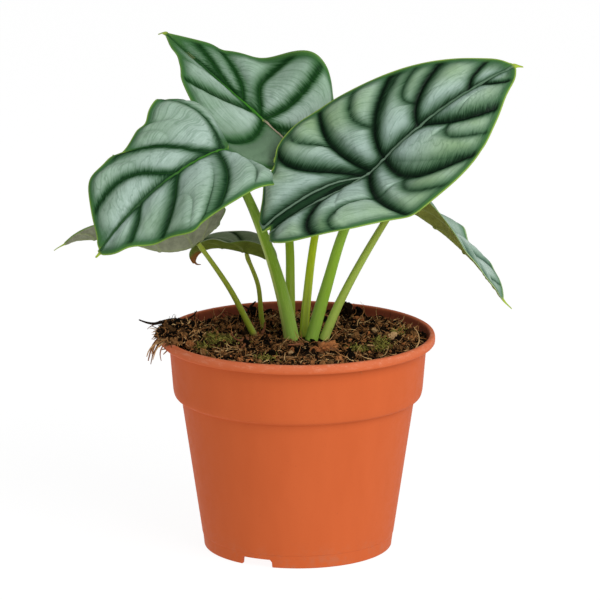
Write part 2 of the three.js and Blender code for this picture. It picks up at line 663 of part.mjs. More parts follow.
function makeCrown() {
  const share = (value) => value * (CROWN.top - CROWN.bottom) + CROWN.bottom;
  const crown = turned([
    [0, CROWN.bottom], [0.35, share(0.04)], [0.7, share(0.22)], [0.95, share(0.5)],
    [1, share(0.75)], [0.95, share(0.93)], [0.85, CROWN.top], [0, CROWN.top],
  ], CROWN.sides);
  crown.scale(CROWN.spreadX, CROWN.spreadY, 1);
  return crown.translate(CROWN.x, CROWN.y, 0);
}

// ---------------------------------------------------------------- assembly

addPiece('pot', makePot(), plastic());
addPiece('potting_soil', makeSoil(), peat());
addPiece('crown', makeCrown(), cork());
Object.entries(LEAVES).forEach(([letter, leaf]) => {
  addPiece(`stalk_${letter}`, makeStalk(leaf), stalkGreen());
  addPiece(`blade_${letter}`, makeBlade(leaf), silverGreen());
});

export default group;
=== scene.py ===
"""A young silver-leaved alocasia in a terracotta-coloured nursery pot, from the pot upwards.

Sizes are in millimetres and turn into metres where a mesh is made. +Z is up, the origin is the
centre of the pot's underside, and -Y faces the viewer.
"""

from types import SimpleNamespace

import bpy
import numpy as np
from numpy import array, cos, exp, pi, sin, stack, where
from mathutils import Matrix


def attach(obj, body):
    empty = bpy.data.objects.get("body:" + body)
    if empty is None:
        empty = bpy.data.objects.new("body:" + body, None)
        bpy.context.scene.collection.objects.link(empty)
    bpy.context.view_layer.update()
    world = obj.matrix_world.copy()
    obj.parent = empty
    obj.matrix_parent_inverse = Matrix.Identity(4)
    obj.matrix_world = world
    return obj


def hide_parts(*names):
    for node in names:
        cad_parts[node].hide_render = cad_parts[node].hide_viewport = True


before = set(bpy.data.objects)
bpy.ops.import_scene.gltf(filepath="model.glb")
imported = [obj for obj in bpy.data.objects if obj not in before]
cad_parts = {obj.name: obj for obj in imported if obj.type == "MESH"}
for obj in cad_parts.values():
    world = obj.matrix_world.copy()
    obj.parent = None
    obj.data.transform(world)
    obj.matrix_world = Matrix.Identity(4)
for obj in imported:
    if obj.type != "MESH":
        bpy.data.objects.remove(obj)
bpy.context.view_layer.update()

# ------------------------------------------------ Pot
# One injection-moulded shell of terracotta-coloured plastic: a tapered wall, a wider band under
# a rolled lip, and a raised floor with drain holes that stands on a notched foot ring.

MM = 0.001
POT_HEIGHT = 95.5
POT_WALL = 1.2
LIP_RADIUS = 60.0
LIP_FOOT = POT_HEIGHT - 4.3
MOUTH_RADIUS = 57.6
BAND_TOP_RADIUS = 56.3
BAND_FOOT_RADIUS = 54.6
BAND_FOOT_HEIGHT = 70.4
NECK_RADIUS = 51.1
NECK_HEIGHT = 66.6
STEP_RADIUS = 42.1
STEP_HEIGHT = 5.8
FOOT_RADIUS = 41.3
FOOT_RING = 2.4
FLOOR_UNDER = 4.2
FLOOR_TOP = 5.6
PAD_RADIUS = 13.0
NOTCH_OUTLINE = array([(-7.5, -1), (7.5, -1), (7.3, 2.6), (6.5, 3.6), (-6.5, 3.6), (-7.3, 2.6)])
NOTCH_TURNS = np.radians([-116, 4, 124])
NOTCH_START, NOTCH_DEPTH = FOOT_RADIUS - 7, 9
DRAIN_TURNS = np.radians(30 + 60 * np.arange(6))
DRAIN_RING = 27
DRAIN_RADIUS = 3.2
POT_SIDES = 288


def add_mesh(name, vertices, faces, smooth=True):
    """Puts vertices (in mm) and a list of faces into a new object at the origin."""
    mesh = bpy.data.meshes.new(name)
    mesh.from_pydata((np.asarray(vertices) * MM).tolist(), [], faces)
    if smooth:
        mesh.shade_smooth()
    piece = bpy.data.objects.new(name, mesh)
    bpy.context.scene.collection.objects.link(piece)
    return piece


def grid_faces(rows, columns, wrap=False):
    """Quads of a grid of vertices numbered row by row; wrap joins the last column to the first."""
    i, j = np.meshgrid(np.arange(rows - 1), np.arange(columns - (not wrap)), indexing="ij")
    k = (j + 1) % columns
    quads = stack([i * columns + j, i * columns + k, (i + 1) * columns + k, (i + 1) * columns + j])
    return quads.reshape(4, -1).T


def ring_body(name, rings, foot, top):
    """A closed body of rings of points from its foot to its top, with a fan over each end."""
    rows, sides = rings.shape[:2]
    k = np.arange(sides)
    last = (rows - 1) * sides
    pole = np.full(sides, rows * sides)
    faces = grid_faces(rows, sides, wrap=True).tolist()
    faces += stack([pole, (k + 1) % sides, k]).T.tolist()
    faces += stack([pole + 1, last + k, last + (k + 1) % sides]).T.tolist()
    return add_mesh(name, np.concatenate([rings.reshape(-1, 3), [foot, top]]), faces)


def around(sides):
    """Even angles round a circle."""
    return np.linspace(0, 2 * pi, sides, endpoint=False)


def rounded(profile):
    """A profile of (radius, height, rounding) corners with each corner turned into an arc: a
    quadratic curve from one side to the other, 'rounding' mm from the corner."""
    points = []
    for i, (r, z, rounding) in enumerate(profile):
        corner = array([r, z])
        if rounding == 0:
            points.append(corner[None])
            continue
        before = array(profile[i - 1][:2]) - corner
        after = array(profile[(i + 1) % len(profile)][:2]) - corner
        a = corner + before * min(rounding / np.hypot(*before), 0.48)
        b = corner + after * min(rounding / np.hypot(*after), 0.48)
        t = np.linspace(0, 1, 7)[:, None]
        points.append((1 - t) ** 2 * a + 2 * t * (1 - t) * corner + t**2 * b)
    return np.concatenate(points)


def block(name, near, far):
    """A closed block between two like outlines, counterclockwise seen from the far one."""
    count = len(near)
    faces = [list(range(count))[::-1], list(range(count, 2 * count))]
    faces += [[i, (i + 1) % count, (i + 1) % count + count, i + count] for i in range(count)]
    return add_mesh(name, np.concatenate([near, far]), faces, smooth=False)


def cut_away(piece, cutters):
    """Takes the cutters out of the piece and removes them."""
    for cutter in cutters:
        cut = piece.modifiers.new("cut", "BOOLEAN")
        cut.object = cutter
        cut.solver = "EXACT"
    finished = piece.evaluated_get(bpy.context.evaluated_depsgraph_get())
    mesh = bpy.data.meshes.new_from_object(finished)
    piece.modifiers.clear()
    piece.data = mesh
    for cutter in cutters:
        bpy.data.objects.remove(cutter)


def pot_shell():
    """A profile turned about Z, with three notches cut in the foot ring and six drain holes in
    the floor."""
    profile = rounded([
        (0, 0, 0), (PAD_RADIUS, 0, 0.4), (PAD_RADIUS + 1, FLOOR_UNDER, 0.8),
        (FOOT_RADIUS - FOOT_RING - 0.4, FLOOR_UNDER, 0.8), (FOOT_RADIUS - FOOT_RING, 0, 0.5),
        (FOOT_RADIUS - 0.1, 0, 0.7), (STEP_RADIUS - 0.25, STEP_HEIGHT, 0.1),
        (STEP_RADIUS, STEP_HEIGHT + 0.25, 0.12), (NECK_RADIUS, NECK_HEIGHT + 0.4, 0.4),
        (BAND_FOOT_RADIUS - 0.7, NECK_HEIGHT + 1.2, 1.3), (BAND_FOOT_RADIUS, BAND_FOOT_HEIGHT, 1.6),
        (BAND_TOP_RADIUS, LIP_FOOT, 0.5), (LIP_RADIUS, LIP_FOOT + 0.1, 1.3),
        (LIP_RADIUS, POT_HEIGHT, 2.0), (MOUTH_RADIUS, POT_HEIGHT, 0.9),
        (MOUTH_RADIUS - 0.5, POT_HEIGHT - 3, 1.5), (BAND_TOP_RADIUS - POT_WALL, POT_HEIGHT - 6, 1.5),
        (BAND_FOOT_RADIUS - POT_WALL, BAND_FOOT_HEIGHT + 1, 1.0),
        (NECK_RADIUS - POT_WALL, NECK_HEIGHT + 1, 1.0), (FOOT_RADIUS - POT_WALL, FLOOR_TOP, 1.2),
        (0, FLOOR_TOP, 0),
    ])
    angle = around(POT_SIDES)
    radius, height = profile[1:-1, :1], profile[1:-1, 1:]
    rings = stack([radius * cos(angle), radius * sin(angle), height + 0 * angle], -1)
    shell = ring_body("nursery_pot", rings, (0, 0, profile[0, 1]), (0, 0, profile[-1, 1]))
    cutters = []
    for turn in NOTCH_TURNS:
        outward = array([cos(turn), sin(turn), 0])
        sideways = array([-sin(turn), cos(turn), 0])
        section = NOTCH_OUTLINE[:, :1] * sideways + NOTCH_OUTLINE[:, 1:] * array([0, 0, 1])
        near = section + NOTCH_START * outward
        cutters.append(block("notch", near, near + NOTCH_DEPTH * outward))
    circle = np.radians(np.arange(0, 360, 15))
    for turn in DRAIN_TURNS:
        x = DRAIN_RING * cos(turn) + DRAIN_RADIUS * cos(circle)
        y = DRAIN_RING * sin(turn) + DRAIN_RADIUS * sin(circle)
        cutters.append(block("drain_hole", stack([x, y, 2 + 0 * x], -1), stack([x, y, 8 + 0 * x], -1)))
    cut_away(shell, cutters)
    shell.data.shade_smooth()
    shell.data.set_sharp_from_angle(angle=np.radians(38))
    return shell


def mottling_group():
    """Uneven tone: noise of two sizes, mixed, and stretched so that low is 0 and high is 1."""
    group = bpy.data.node_groups.new("mottling", "ShaderNodeTree")
    for name in ("Vector", "Scale", "Fine", "Low", "High"):
        kind = "NodeSocketVector" if name == "Vector" else "NodeSocketFloat"
        group.interface.new_socket(name, in_out="INPUT", socket_type=kind)
    group.interface.new_socket("Tone", in_out="OUTPUT", socket_type="NodeSocketFloat")
    given, result, broad, fine, finer, both, stretch = (group.nodes.new(kind) for kind in (
        "NodeGroupInput", "NodeGroupOutput", "ShaderNodeTexNoise", "ShaderNodeTexNoise",
        "ShaderNodeMath", "ShaderNodeMix", "ShaderNodeMapRange"))
    finer.operation = "MULTIPLY"
    both.inputs[0].default_value = 0.35
    for source, output, target, socket in (
            (given, "Vector", broad, "Vector"), (given, "Vector", fine, "Vector"),
            (given, "Scale", broad, "Scale"), (given, "Scale", finer, 0), (given, "Fine", finer, 1),
            (finer, 0, fine, "Scale"), (broad, "Fac", both, 2), (fine, "Fac", both, 3),
            (both, 0, stretch, "Value"), (given, "Low", stretch, "From Min"),
            (given, "High", stretch, "From Max"), (stretch, "Result", result, "Tone")):
        group.links.new(source.outputs[output], target.inputs[socket])
    return group


MOTTLING = mottling_group()


class Finish:
    """A material being built: short calls for the nodes that the finishes here share."""

    def __init__(self, name, roughness, specular, **shader_values):
        self.material = bpy.data.materials.new(name)
        self.material.use_nodes = True
        self.nodes = self.material.node_tree.nodes
        self.links = self.material.node_tree.links
        self.shader = self.nodes["Principled BSDF"]
        for key, value in {"Roughness": roughness, "Specular_IOR_Level": specular, **shader_values}.items():
            self.shader.inputs[key.replace("_", " ")].default_value = value
        self.place = self.nodes.new("ShaderNodeTexCoord").outputs["Object"]

    def put(self, socket, source):
        """Links a source to a socket, or sets the socket's own value; colours are opaque."""
        if isinstance(source, bpy.types.NodeSocket):
            self.links.new(source, socket)
        else:
            socket.default_value = (*source, 1) if socket.type == "RGBA" else source

    def node(self, kind, output, sources, **settings):
        """An output of a new node, once its settings are made and its sources put in."""
        made = self.nodes.new("ShaderNode" + kind)
        for name, value in settings.items():
            setattr(made, name, value)
        for socket, source in sources.items():
            self.put(made.inputs[socket], source)
        return made.outputs[output]

    def read(self, name):
        """One number a vertex, by the name it was written under."""
        return self.node("Attribute", "Fac", {}, attribute_name=name)

    def math(self, operation, a, b=0.0):
        return self.node("Math", 0, {0: a, 1: b}, operation=operation)

    def times(self, product, *others):
        """The product of several values."""
        for other in others:
            product = self.math("MULTIPLY", product, other)
        return product

    def step(self, value, low, high):
        """0 below low, 1 above high, and a smooth rise between them."""
        sources = {"Value": value, "From Min": low, "From Max": high}
        return self.node("MapRange", "Result", sources, interpolation_type="SMOOTHSTEP")

    def scaled(self, value, low, high):
        """A 0 to 1 value moved to the range from low to high."""
        return self.node("MapRange", "Result", {"Value": value, "To Min": low, "To Max": high})

    def mottle(self, scale, fine=4.0, low=0.35, high=0.65, on=None, stretch=None):
        """Uneven tone over the piece's place or other coordinates, which stretch multiplies along
        each axis, so that the pattern runs along the smallest."""
        vector = on or self.place
        if stretch:
            vector = self.node("Mapping", "Vector", {"Vector": vector, "Scale": stretch})
        sources = {"Vector": vector, "Scale": scale, "Fine": fine, "Low": low, "High": high}
        return self.node("Group", "Tone", sources, node_tree=MOTTLING)

    def bump(self, height, distance, strength=1.0):
        """Relief too fine for the mesh, distance in mm."""
        sources = {"Height": height, "Distance": distance * MM, "Strength": strength}
        self.put(self.shader.inputs["Normal"], self.node("Bump", "Normal", sources))

    def paint(self, ground, *layers):
        """A ground colour under layers of (share, colour) or (share, colour, most), where share
        goes from 0, the ground, to 1, the layer, and is multiplied by most."""
        for share, colour, *most in layers:
            sources = {0: self.times(share, *most), 6: ground, 7: colour}
            ground = self.node("Mix", 2, sources, data_type="RGBA")
        return ground

    def colour(self, ground, *layers):
        self.put(self.shader.inputs["Base Color"], self.paint(ground, *layers))

    def roughness(self, source):
        self.put(self.shader.inputs["Roughness"], source)


def pot_plastic():
    """Satin moulded plastic: faint upright flow marks, fine grain, pale wear on the lip that partly stands in
    for its sheen as a painted highlight, dust near the foot, and painted shade on the inside above the peat."""
    finish = Finish("terracotta_plastic", 0.4, 0.05)
    flow = finish.mottle(70, 3.0, stretch=(1, 1, 0.22))
    specks = finish.mottle(900, 2.2, 0.62, 0.72)
    height = finish.node("SeparateXYZ", "Z", {0: finish.place})
    on_lip = finish.step(height, (POT_HEIGHT - 4.5) * MM, (POT_HEIGHT - 1) * MM)
    # partly real wear, partly painted highlight: the whole lip is paled unevenly to stand in for its sheen
    scuffs_and_sheen = finish.scaled(finish.mottle(260, 4.0, 0.5, 0.66, stretch=(1, 1, 3)), 0.2, 0.6)
    near_foot = finish.step(height, 14 * MM, 1 * MM)
    dust = finish.mottle(140, 4.0, 0.48, 0.7)
    # painted shade: the inside of the wall between the peat and the rim is darkened
    level = finish.node("Mapping", "Vector", {"Vector": finish.place, "Scale": (1, 1, 0)})
    from_axis = finish.node("VectorMath", "Value", {0: level}, operation="LENGTH")
    within = finish.step(from_axis, (MOUTH_RADIUS + 0.5) * MM, (MOUTH_RADIUS - 0.4) * MM)
    above = finish.step(height, (POT_HEIGHT - 5) * MM, (POT_HEIGHT - 4) * MM)
    finish.colour(
        (0.545, 0.107, 0.030), (flow, (0.570, 0.115, 0.033)), (specks, (0.36, 0.065, 0.022), 0.25),
        (finish.times(on_lip, scuffs_and_sheen), (0.70, 0.28, 0.17)),
        (finish.times(near_foot, dust), (0.40, 0.17, 0.10), 0.3),
        (finish.times(within, above), (0.24, 0.055, 0.026)))
    finish.roughness(finish.scaled(finish.mottle(220), 0.50, 0.64))
    finish.bump(finish.mottle(1500, 2.5, 0.2, 0.8), 0.03, 0.5)
    return finish.material


pot = pot_shell()
pot.data.materials.append(pot_plastic())
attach(pot, "root")
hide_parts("pot")

# ------------------------------------------------ Peat bed
# Moist peat fills the pot to just under the lip, uneven and open, with a mound on the left that
# carries a heap of rooted peat over the rim.

SOIL_LEVEL = 92.6
SOIL_FALL = 0.02
SOIL_WAVE = 0.75
SOIL_RADIUS = 56.6
MOUND = (-47.0, -8.0)
MOUND_HEIGHT = 3.6
MOUND_SPREAD = 13.0
BED_RINGS, BED_SPOKES = 120, 300
WALL_GAP = 0.35


def bell(x, width):
    """1 at x = 0 and falling to both sides: exp(-(x / width)^2)."""
    return exp(-((x / width) ** 2))


def rough(x, y, size, seed, octaves=4):
    """Fractal roughness, about -1 to 1: in each octave eight waves in random directions are
    added, at half the length and 0.6 of the height of the octave before."""
    draw = np.random.default_rng(seed)
    total = np.zeros(np.shape(x))
    for octave in range(octaves):
        for _ in range(8):
            way, phase = draw.uniform(0, 2 * pi, 2)
            length = size * 0.5**octave * draw.uniform(0.7, 1.4)
            total = total + 0.25 * 0.6**octave * sin((x * cos(way) + y * sin(way)) * 2 * pi / length + phase)
    return total


def bed_height(x, y):
    """Height of the bed: a level that falls to the back, a few crossing waves, a bell's mound."""
    waves = (sin(0.31 * x + 1.3) * cos(0.27 * y + 0.4) + 0.6 * sin(0.53 * y - 0.38 * x)
             + 0.4 * cos(0.71 * x + 0.45 * y)) / 1.6
    from_mound = np.hypot(x - MOUND[0], y - MOUND[1])
    return SOIL_LEVEL - SOIL_FALL * y + SOIL_WAVE * waves + MOUND_HEIGHT * bell(from_mound, MOUND_SPREAD)


def wall_radius(z):
    """Radius of the pot's inner wall at a height, by straight runs between its corners."""
    heights = [FLOOR_TOP, NECK_HEIGHT + 1, BAND_FOOT_HEIGHT + 1, POT_HEIGHT - 6, POT_HEIGHT - 3, POT_HEIGHT]
    radii = [FOOT_RADIUS - POT_WALL, NECK_RADIUS - POT_WALL, BAND_FOOT_RADIUS - POT_WALL,
             BAND_TOP_RADIUS - POT_WALL, MOUTH_RADIUS - 0.5, MOUTH_RADIUS]
    return np.interp(z, heights, radii)


def peat_bed():
    """Rings up the wall and then inwards over the top, whose height is the bed's plus
    roughness of two sizes."""
    share = np.linspace(1, 0, BED_RINGS + 1)[:-1, None] ** 0.8
    angle = around(BED_SPOKES)[None]
    x, y = share * SOIL_RADIUS * cos(angle), share * SOIL_RADIUS * sin(angle)
    z = bed_height(x, y) - 0.9 + 1.1 * rough(x, y, 9, 3) + 0.5 * rough(x, y, 2.4, 4, octaves=2)
    inside = np.minimum(1, (wall_radius(z) - 0.3) / np.hypot(x, y))  # keeps it within the wall
    top = stack([x * inside, y * inside, np.minimum(z, POT_HEIGHT + 2)], -1)
    levels = array([FLOOR_TOP + 0.3, NECK_HEIGHT + 1, BAND_FOOT_HEIGHT + 1, POT_HEIGHT - 6])[:, None]
    radius = wall_radius(levels) - WALL_GAP
    side = stack([radius * cos(angle), radius * sin(angle), levels + 0 * angle], -1)
    return ring_body("peat_bed", np.concatenate([side, top]), (0, 0, levels[0, 0]), (0, 0, SOIL_LEVEL - 0.8))


def peat_finish():
    """Rough dull peat: two tones by fine mottling."""
    finish = Finish("peat", 0.95, 0.03)
    finish.colour((0.004, 0.0025, 0.0015), (finish.mottle(600, 3.0, 0.3, 0.7), (0.030, 0.016, 0.008)))
    finish.bump(finish.mottle(1400, 2.0, 0.2, 0.8), 0.5)
    return finish.material


bed = peat_bed()
bed.data.materials.append(peat_finish())
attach(bed, "root")
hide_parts("potting_soil")

# ------------------------------------------------ Peat crumbs and clods
# Loose crumbs of peat from half a millimetre to several millimetres lie on the bed and make up
# the heap on the rim.

CLUMP = array([-51.5, -8.0, 97.0])
CLUMP_SIZE = array([10.5, 16.0, 4.8])
LUMPS = array([  # x, y, height over the bed, size, tone
    (22.3, 46, 1.6, 4.6, 0.42), (27.5, 47, 0.8, 3.0, 0.25), (11, -24, 1.2, 4.4, 0.97),
    (7.5, -28, 0.8, 3.0, 0.95), (15, -21, 1.0, 3.2, 0.92), (22.7, -37, 0.8, 3.4, 0.05),
    (-11, -37, 0.8, 3.2, 0.08), (-26, 33, 1.2, 3.4, 0.1), (-20, 45, 1.6, 3.0, 0.05),
    (41.5, -3, 1.4, 2.2, 1.5), (-3, -32, 1.0, 1.6, 1.4), (-33, -28, 0.8, 1.5, 1.4),
    (34, 12, 0.8, 1.6, 1.4), (-47, -22, 1.5, 2.6, 0.9), (-40, 2, 1.5, 2.8, 0.1), (18, -45, 0.4, 2.2, 0.9)])
STALK_FEET = (4, 0, 11, 9)  # centre and half sizes of an oval
GOLDEN = (1 + 5**0.5) / 2
CORNERS = array([(-1, GOLDEN, 0), (1, GOLDEN, 0), (-1, -GOLDEN, 0), (1, -GOLDEN, 0)])
BALL_POINTS = np.concatenate([np.roll(CORNERS, turn, axis=1) for turn in range(3)]) / np.hypot(1, GOLDEN)
BALL_FACES = array([  # of an icosahedron
    (0, 11, 5), (0, 5, 1), (0, 1, 7), (0, 7, 10), (0, 10, 11), (1, 5, 9), (5, 11, 4), (11, 10, 2),
    (10, 7, 6), (7, 1, 8), (3, 9, 4), (3, 4, 2), (3, 2, 6), (3, 6, 8), (3, 8, 9), (4, 9, 5),
    (2, 4, 11), (6, 2, 10), (8, 6, 7), (9, 8, 1)])
random = np.random.default_rng(20)
uniform, normal = random.uniform, random.normal


def unit(vectors):
    """The vectors at a length of 1."""
    return vectors / (np.linalg.norm(vectors, axis=-1, keepdims=True) + 1e-12)


def finer_ball(points, faces):
    """Each triangle split in four, with the new points pushed out to the unit ball."""
    points, middles, split = list(points), {}, []

    def middle(a, b):
        key = (min(a, b), max(a, b))
        if key not in middles:
            middles[key] = len(points)
            points.append((points[a] + points[b]) / 2)
        return middles[key]

    for a, b, c in faces:
        ab, bc, ca = middle(a, b), middle(b, c), middle(c, a)
        split += [(a, ab, ca), (b, bc, ab), (c, ca, bc), (ab, bc, ca)]
    return unit(array(points)), array(split)


COARSE_BALL = (BALL_POINTS, BALL_FACES)
FINE_BALL = finer_ball(*COARSE_BALL)


def turns(count):
    """Random rotation matrices: Gram-Schmidt on random vectors."""
    a, b = normal(size=(count, 3)), normal(size=(count, 3))
    a = unit(a)
    b = unit(b - a * (a * b).sum(1, keepdims=True))
    return stack([a, b, np.cross(a, b)], -1)


def write(piece, name, values):
    """Writes one number a vertex, for a material to read."""
    made = piece.data.attributes.new(name, "FLOAT", "POINT")
    made.data.foreach_set("value", np.asarray(values, np.float32).ravel())


def crumbs(name, centres, sizes, ball, tones=None):
    """A ball at each centre, with its skin pushed in and out at random and squeezed along one
    axis, as one mesh. The 'tone' attribute is one draw for each crumb."""
    points, faces = ball
    count = len(centres)
    skin = points[None] * uniform(0.65, 1.15, (count, len(points), 1))
    skin = skin * uniform([0.75, 0.55, 0.45], [1.2, 0.95, 0.8], (count, 3))[:, None]
    skin = np.einsum("nij,nkj->nki", turns(count), skin) * sizes[:, None, None] + centres[:, None]
    index = faces[None] + (np.arange(count) * len(points))[:, None, None]
    piece = add_mesh(name, skin.reshape(-1, 3), index.reshape(-1, 3).tolist(), smooth=False)
    write(piece, "tone", np.repeat(uniform(0, 1, count) if tones is None else tones, len(points)))
    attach(piece, "root")
    return piece


def scatter(count, edge=1.5):
    """Random places on the bed, even over its area and clear of the stalks' feet."""
    radius = (SOIL_RADIUS - edge) * np.sqrt(uniform(0, 1, 3 * count))
    angle = uniform(0, 2 * pi, 3 * count)
    x, y = radius * cos(angle), radius * sin(angle)
    middle_x, middle_y, half_x, half_y = STALK_FEET
    clear = ((x - middle_x) / half_x) ** 2 + ((y - middle_y) / half_y) ** 2 > 1
    return x[clear][:count], y[clear][:count]


def on_bed(x, y, lift):
    """Points on the bed or a little over it."""
    return stack([x, y, bed_height(x, y) + lift], -1)


def heap(count, inside=0.0):
    """Random places in the upper half of the heap's ellipsoid, near its skin."""
    way = unit(normal(size=(count, 3)))
    way[:, 2] = np.abs(way[:, 2]) * 1.15 - 0.25
    depth = 1 - inside * uniform(0, 1, (count, 1))
    return CLUMP + way * depth * CLUMP_SIZE * 0.93


def crumb_finish():
    """Peat crumbs from near black through brown to red-brown, and tan above a tone of 1.2."""
    finish = Finish("peat_crumb", 0.92, 0.03)
    tone = finish.read("tone")
    grain = finish.mottle(900, 2.5, 0.3, 0.7)
    finish.colour(
        (0.003, 0.002, 0.001), (finish.step(tone, 0.35, 0.95), (0.36, 0.17, 0.060)),
        (finish.step(tone, 0.80, 0.98), (0.52, 0.19, 0.065)),
        (finish.step(tone, 1.2, 1.3), (0.60, 0.38, 0.18)), (grain, (0.012, 0.008, 0.005), 0.5))
    finish.bump(grain, 0.25)
    return finish.material


CRUMB_FINISH = crumb_finish()
x, y = scatter(5000)
sizes = 0.3 + 0.9 * uniform(0, 1, len(x)) ** 2
small = crumbs("peat_crumbs", on_bed(x, y, uniform(-0.6, 0.9, len(x))), sizes, COARSE_BALL)
x, y = scatter(420, edge=4)
sizes = 1.0 + 2.0 * uniform(0, 1, len(x)) ** 3
large = crumbs("peat_clods", on_bed(x, y, 0.15 * sizes), sizes, FINE_BALL, uniform(0, 1, len(x)) ** 1.5)
x, y, lift, sizes, tones = LUMPS.T
lumps = crumbs("peat_lumps", on_bed(x, y, lift), sizes, finer_ball(*FINE_BALL), tones)
heaped = crumbs("heaped_peat", heap(900, inside=0.5), uniform(0.8, 2.6, 900), FINE_BALL,
                uniform(0, 0.85, 900))
for piece in (small, large, lumps, heaped):
    piece.data.materials.append(CRUMB_FINISH)

# ------------------------------------------------ Fibres
# Tan and red-brown strands of sphagnum and coir lie tangled over the peat, and stand out of the
# heap on the rim.


def strands(name, starts, ways, lengths, radii, sag, curl, sides=3, steps=7, tones=None):
    """Thin tapered tubes: each starts at a point and runs along its way, which turns by a
    random bend at each step and sinks by sag; curl is the size of the bend."""
    count = len(starts)
    path = np.zeros((count, steps + 1, 3))
    path[:, 0] = starts
    way = unit(ways)
    bend = normal(size=(count, 3)) * curl
    for k in range(steps):
        bend = 0.7 * bend + 0.7 * normal(size=(count, 3)) * curl
        way = unit(way + bend - array([0, 0, sag]))
        path[:, k + 1] = path[:, k] + way * (lengths / steps)[:, None]
    along = np.gradient(path, axis=1)
    side = unit(np.cross(along, [0.31, 0.17, 0.93]))
    other = unit(np.cross(along, side))
    angle = around(sides)[:, None]
    thin = np.linspace(1, 0.35, steps + 1)[None, :, None] * radii[:, None, None]
    ring = side[:, :, None] * cos(angle) + other[:, :, None] * sin(angle)
    vertices = path[:, :, None] + ring * thin[..., None]
    per_strand = (steps + 1) * sides
    offset = (np.arange(count) * per_strand)[:, None, None]
    faces = (grid_faces(steps + 1, sides, wrap=True) + offset).reshape(-1, 4).tolist()
    faces += (np.arange(sides)[::-1] + offset[:, 0]).tolist()
    faces += (np.arange(steps * sides, per_strand) + offset[:, 0]).tolist()
    piece = add_mesh(name, vertices.reshape(-1, 3), faces)
    write(piece, "tone", np.repeat(uniform(0, 1, count) if tones is None else tones, per_strand))
    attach(piece, "root")
    return piece


def lying(count, lift=0.25):
    """Random level ways with a little rise."""
    angle = uniform(0, 2 * pi, count)
    return stack([cos(angle), sin(angle), normal(0, lift, count)], -1)


def fibre_finish(name, dark, middle, light):
    """Three colours by the strand's tone, under dark mottling."""
    finish = Finish(name, 0.8, 0.06)
    tone = finish.read("tone")
    finish.colour(
        dark, (finish.step(tone, 0, 0.5), middle), (finish.step(tone, 0.5, 1), light),
        (finish.mottle(700, 4.0, 0.35, 0.7), (0.03, 0.015, 0.008), 0.45))
    return finish.material


FIBRE_FINISH = fibre_finish("dry_fibre", (0.030, 0.012, 0.005), (0.50, 0.22, 0.070), (0.92, 0.60, 0.27))
x, y = scatter(2300, edge=2.5)
loose = strands(
    "peat_fibres", on_bed(x, y, uniform(-0.2, 1.3, len(x))), lying(len(x)), uniform(2.5, 9, len(x)),
    uniform(0.10, 0.30, len(x)), sag=0.05, curl=0.24, tones=uniform(0, 1, len(x)) ** 1.7)
starts = heap(620)
outward = (starts - CLUMP) / CLUMP_SIZE * (1.0, 1.0, 0.5) + normal(0, 0.6, (620, 3))
heap_fibres = strands(
    "heap_fibres", starts, outward, uniform(1.2, 5, 620), uniform(0.16, 0.46, 620), sag=0.12, curl=0.32,
    tones=uniform(0, 1, 620) ** 1.8)
for piece in (loose, heap_fibres):
    piece.data.materials.append(FIBRE_FINISH)

# ------------------------------------------------ Roots and bark
# Dead roots and slips of bark mixed in the peat: a black root sticks out over the rim on the
# left, torn strips hang over it, and short black pieces stand at the back.

# A row is a start, a way, a length, a thickness, and a tone: 0 black, 0.5 red-brown, 1 tan.
ROOTS = array([
    (-53, 3, 100.4, -1, -0.05, 0.02, 21, 0.95, 0.0), (-60, 4, 99.6, -1, -0.1, -0.2, 7, 0.4, 0.4),
    (-49, 22, 94, 0, 0, 1, 8, 0.6, 0.0), (-46, 24, 94, 0.3, 0, 1, 5, 0.5, 0.1),
    (-22, 46, 93, 0.1, 0, 1, 6.5, 0.9, 0.0), (-19, 47, 93, 0.4, 0, 1, 5, 0.8, 0.1),
    (-25, 45, 93, -0.6, 0, 1, 5, 0.7, 0.0), (-21, 44, 95, -1, 0, 0.5, 5, 0.6, 0.05),
    (-51, -14, 96.5, -1, -0.1, -0.45, 10, 0.7, 0.85), (-53, -16, 96, -1, -0.3, -0.9, 8.5, 0.6, 0.8),
    (-50, -4, 97.5, -1, -0.1, 0.35, 12, 0.6, 0.75), (-54, -6, 98.5, -1, -0.2, -0.1, 9, 0.5, 0.9),
    (-53, -20, 95.5, -1, -0.4, -0.6, 7, 0.5, 0.7), (-55, -10, 97, -0.8, -0.5, -0.6, 8, 0.5, 0.95),
    (-22, -8, 95, -0.1, -1, 0.0, 19, 0.75, 0.5), (-24, -12, 95.3, 0.1, -1, 0.0, 13, 0.6, 0.55),
    (51, -25, 94.6, 0.2, 1, 0.1, 16, 0.4, 1.0), (46, -30, 94.5, 0.6, 1, 0.05, 11, 0.35, 0.9),
    (-20, 6, 94.5, -0.3, -0.5, 0.9, 7, 0.8, 0.5), (-16, 3, 93.5, 0.1, 0.3, 1, 6, 0.9, 0.45),
    (9, -19, 95, 0.8, -1, 0.2, 8, 0.9, 0.55), (2, -16, 94, -0.7, -1, 0.15, 9, 0.8, 0.5),
    (14, -28, 95, 1, -0.5, 0.1, 7, 0.8, 0.6), (30, -20, 94.5, 1, 0.2, 0.1, 9, 0.5, 0.9),
    (-36, -30, 94.5, 1, -0.3, 0.1, 9, 0.5, 0.9), (-8, -42, 94.5, 1, 0.1, 0.1, 8, 0.5, 0.8)])
STRIPS = array([
    (-55, -15, 97.5, -1, -0.2, 0.15, 17, 0.75, 0.6), (-55, -17, 97, -1, -0.3, 0.1, 15, 0.6, 0.9),
    (-56, -12, 97.5, -1, 0.1, 0.1, 14, 0.6, 0.75), (-55, -19, 96.5, -1, -0.4, 0.2, 13, 0.5, 1.0),
    (-56, -14, 98, -1, -0.1, 0.0, 16, 0.55, 0.3), (-56, -8, 98, -1, 0.1, -0.1, 9, 0.5, 0.9),
    (-55, -21, 96.5, -1, -0.1, 0.1, 11, 0.5, 0.5), (-57, -16, 97, -1, 0.2, 0.0, 12, 0.45, 0.95)])
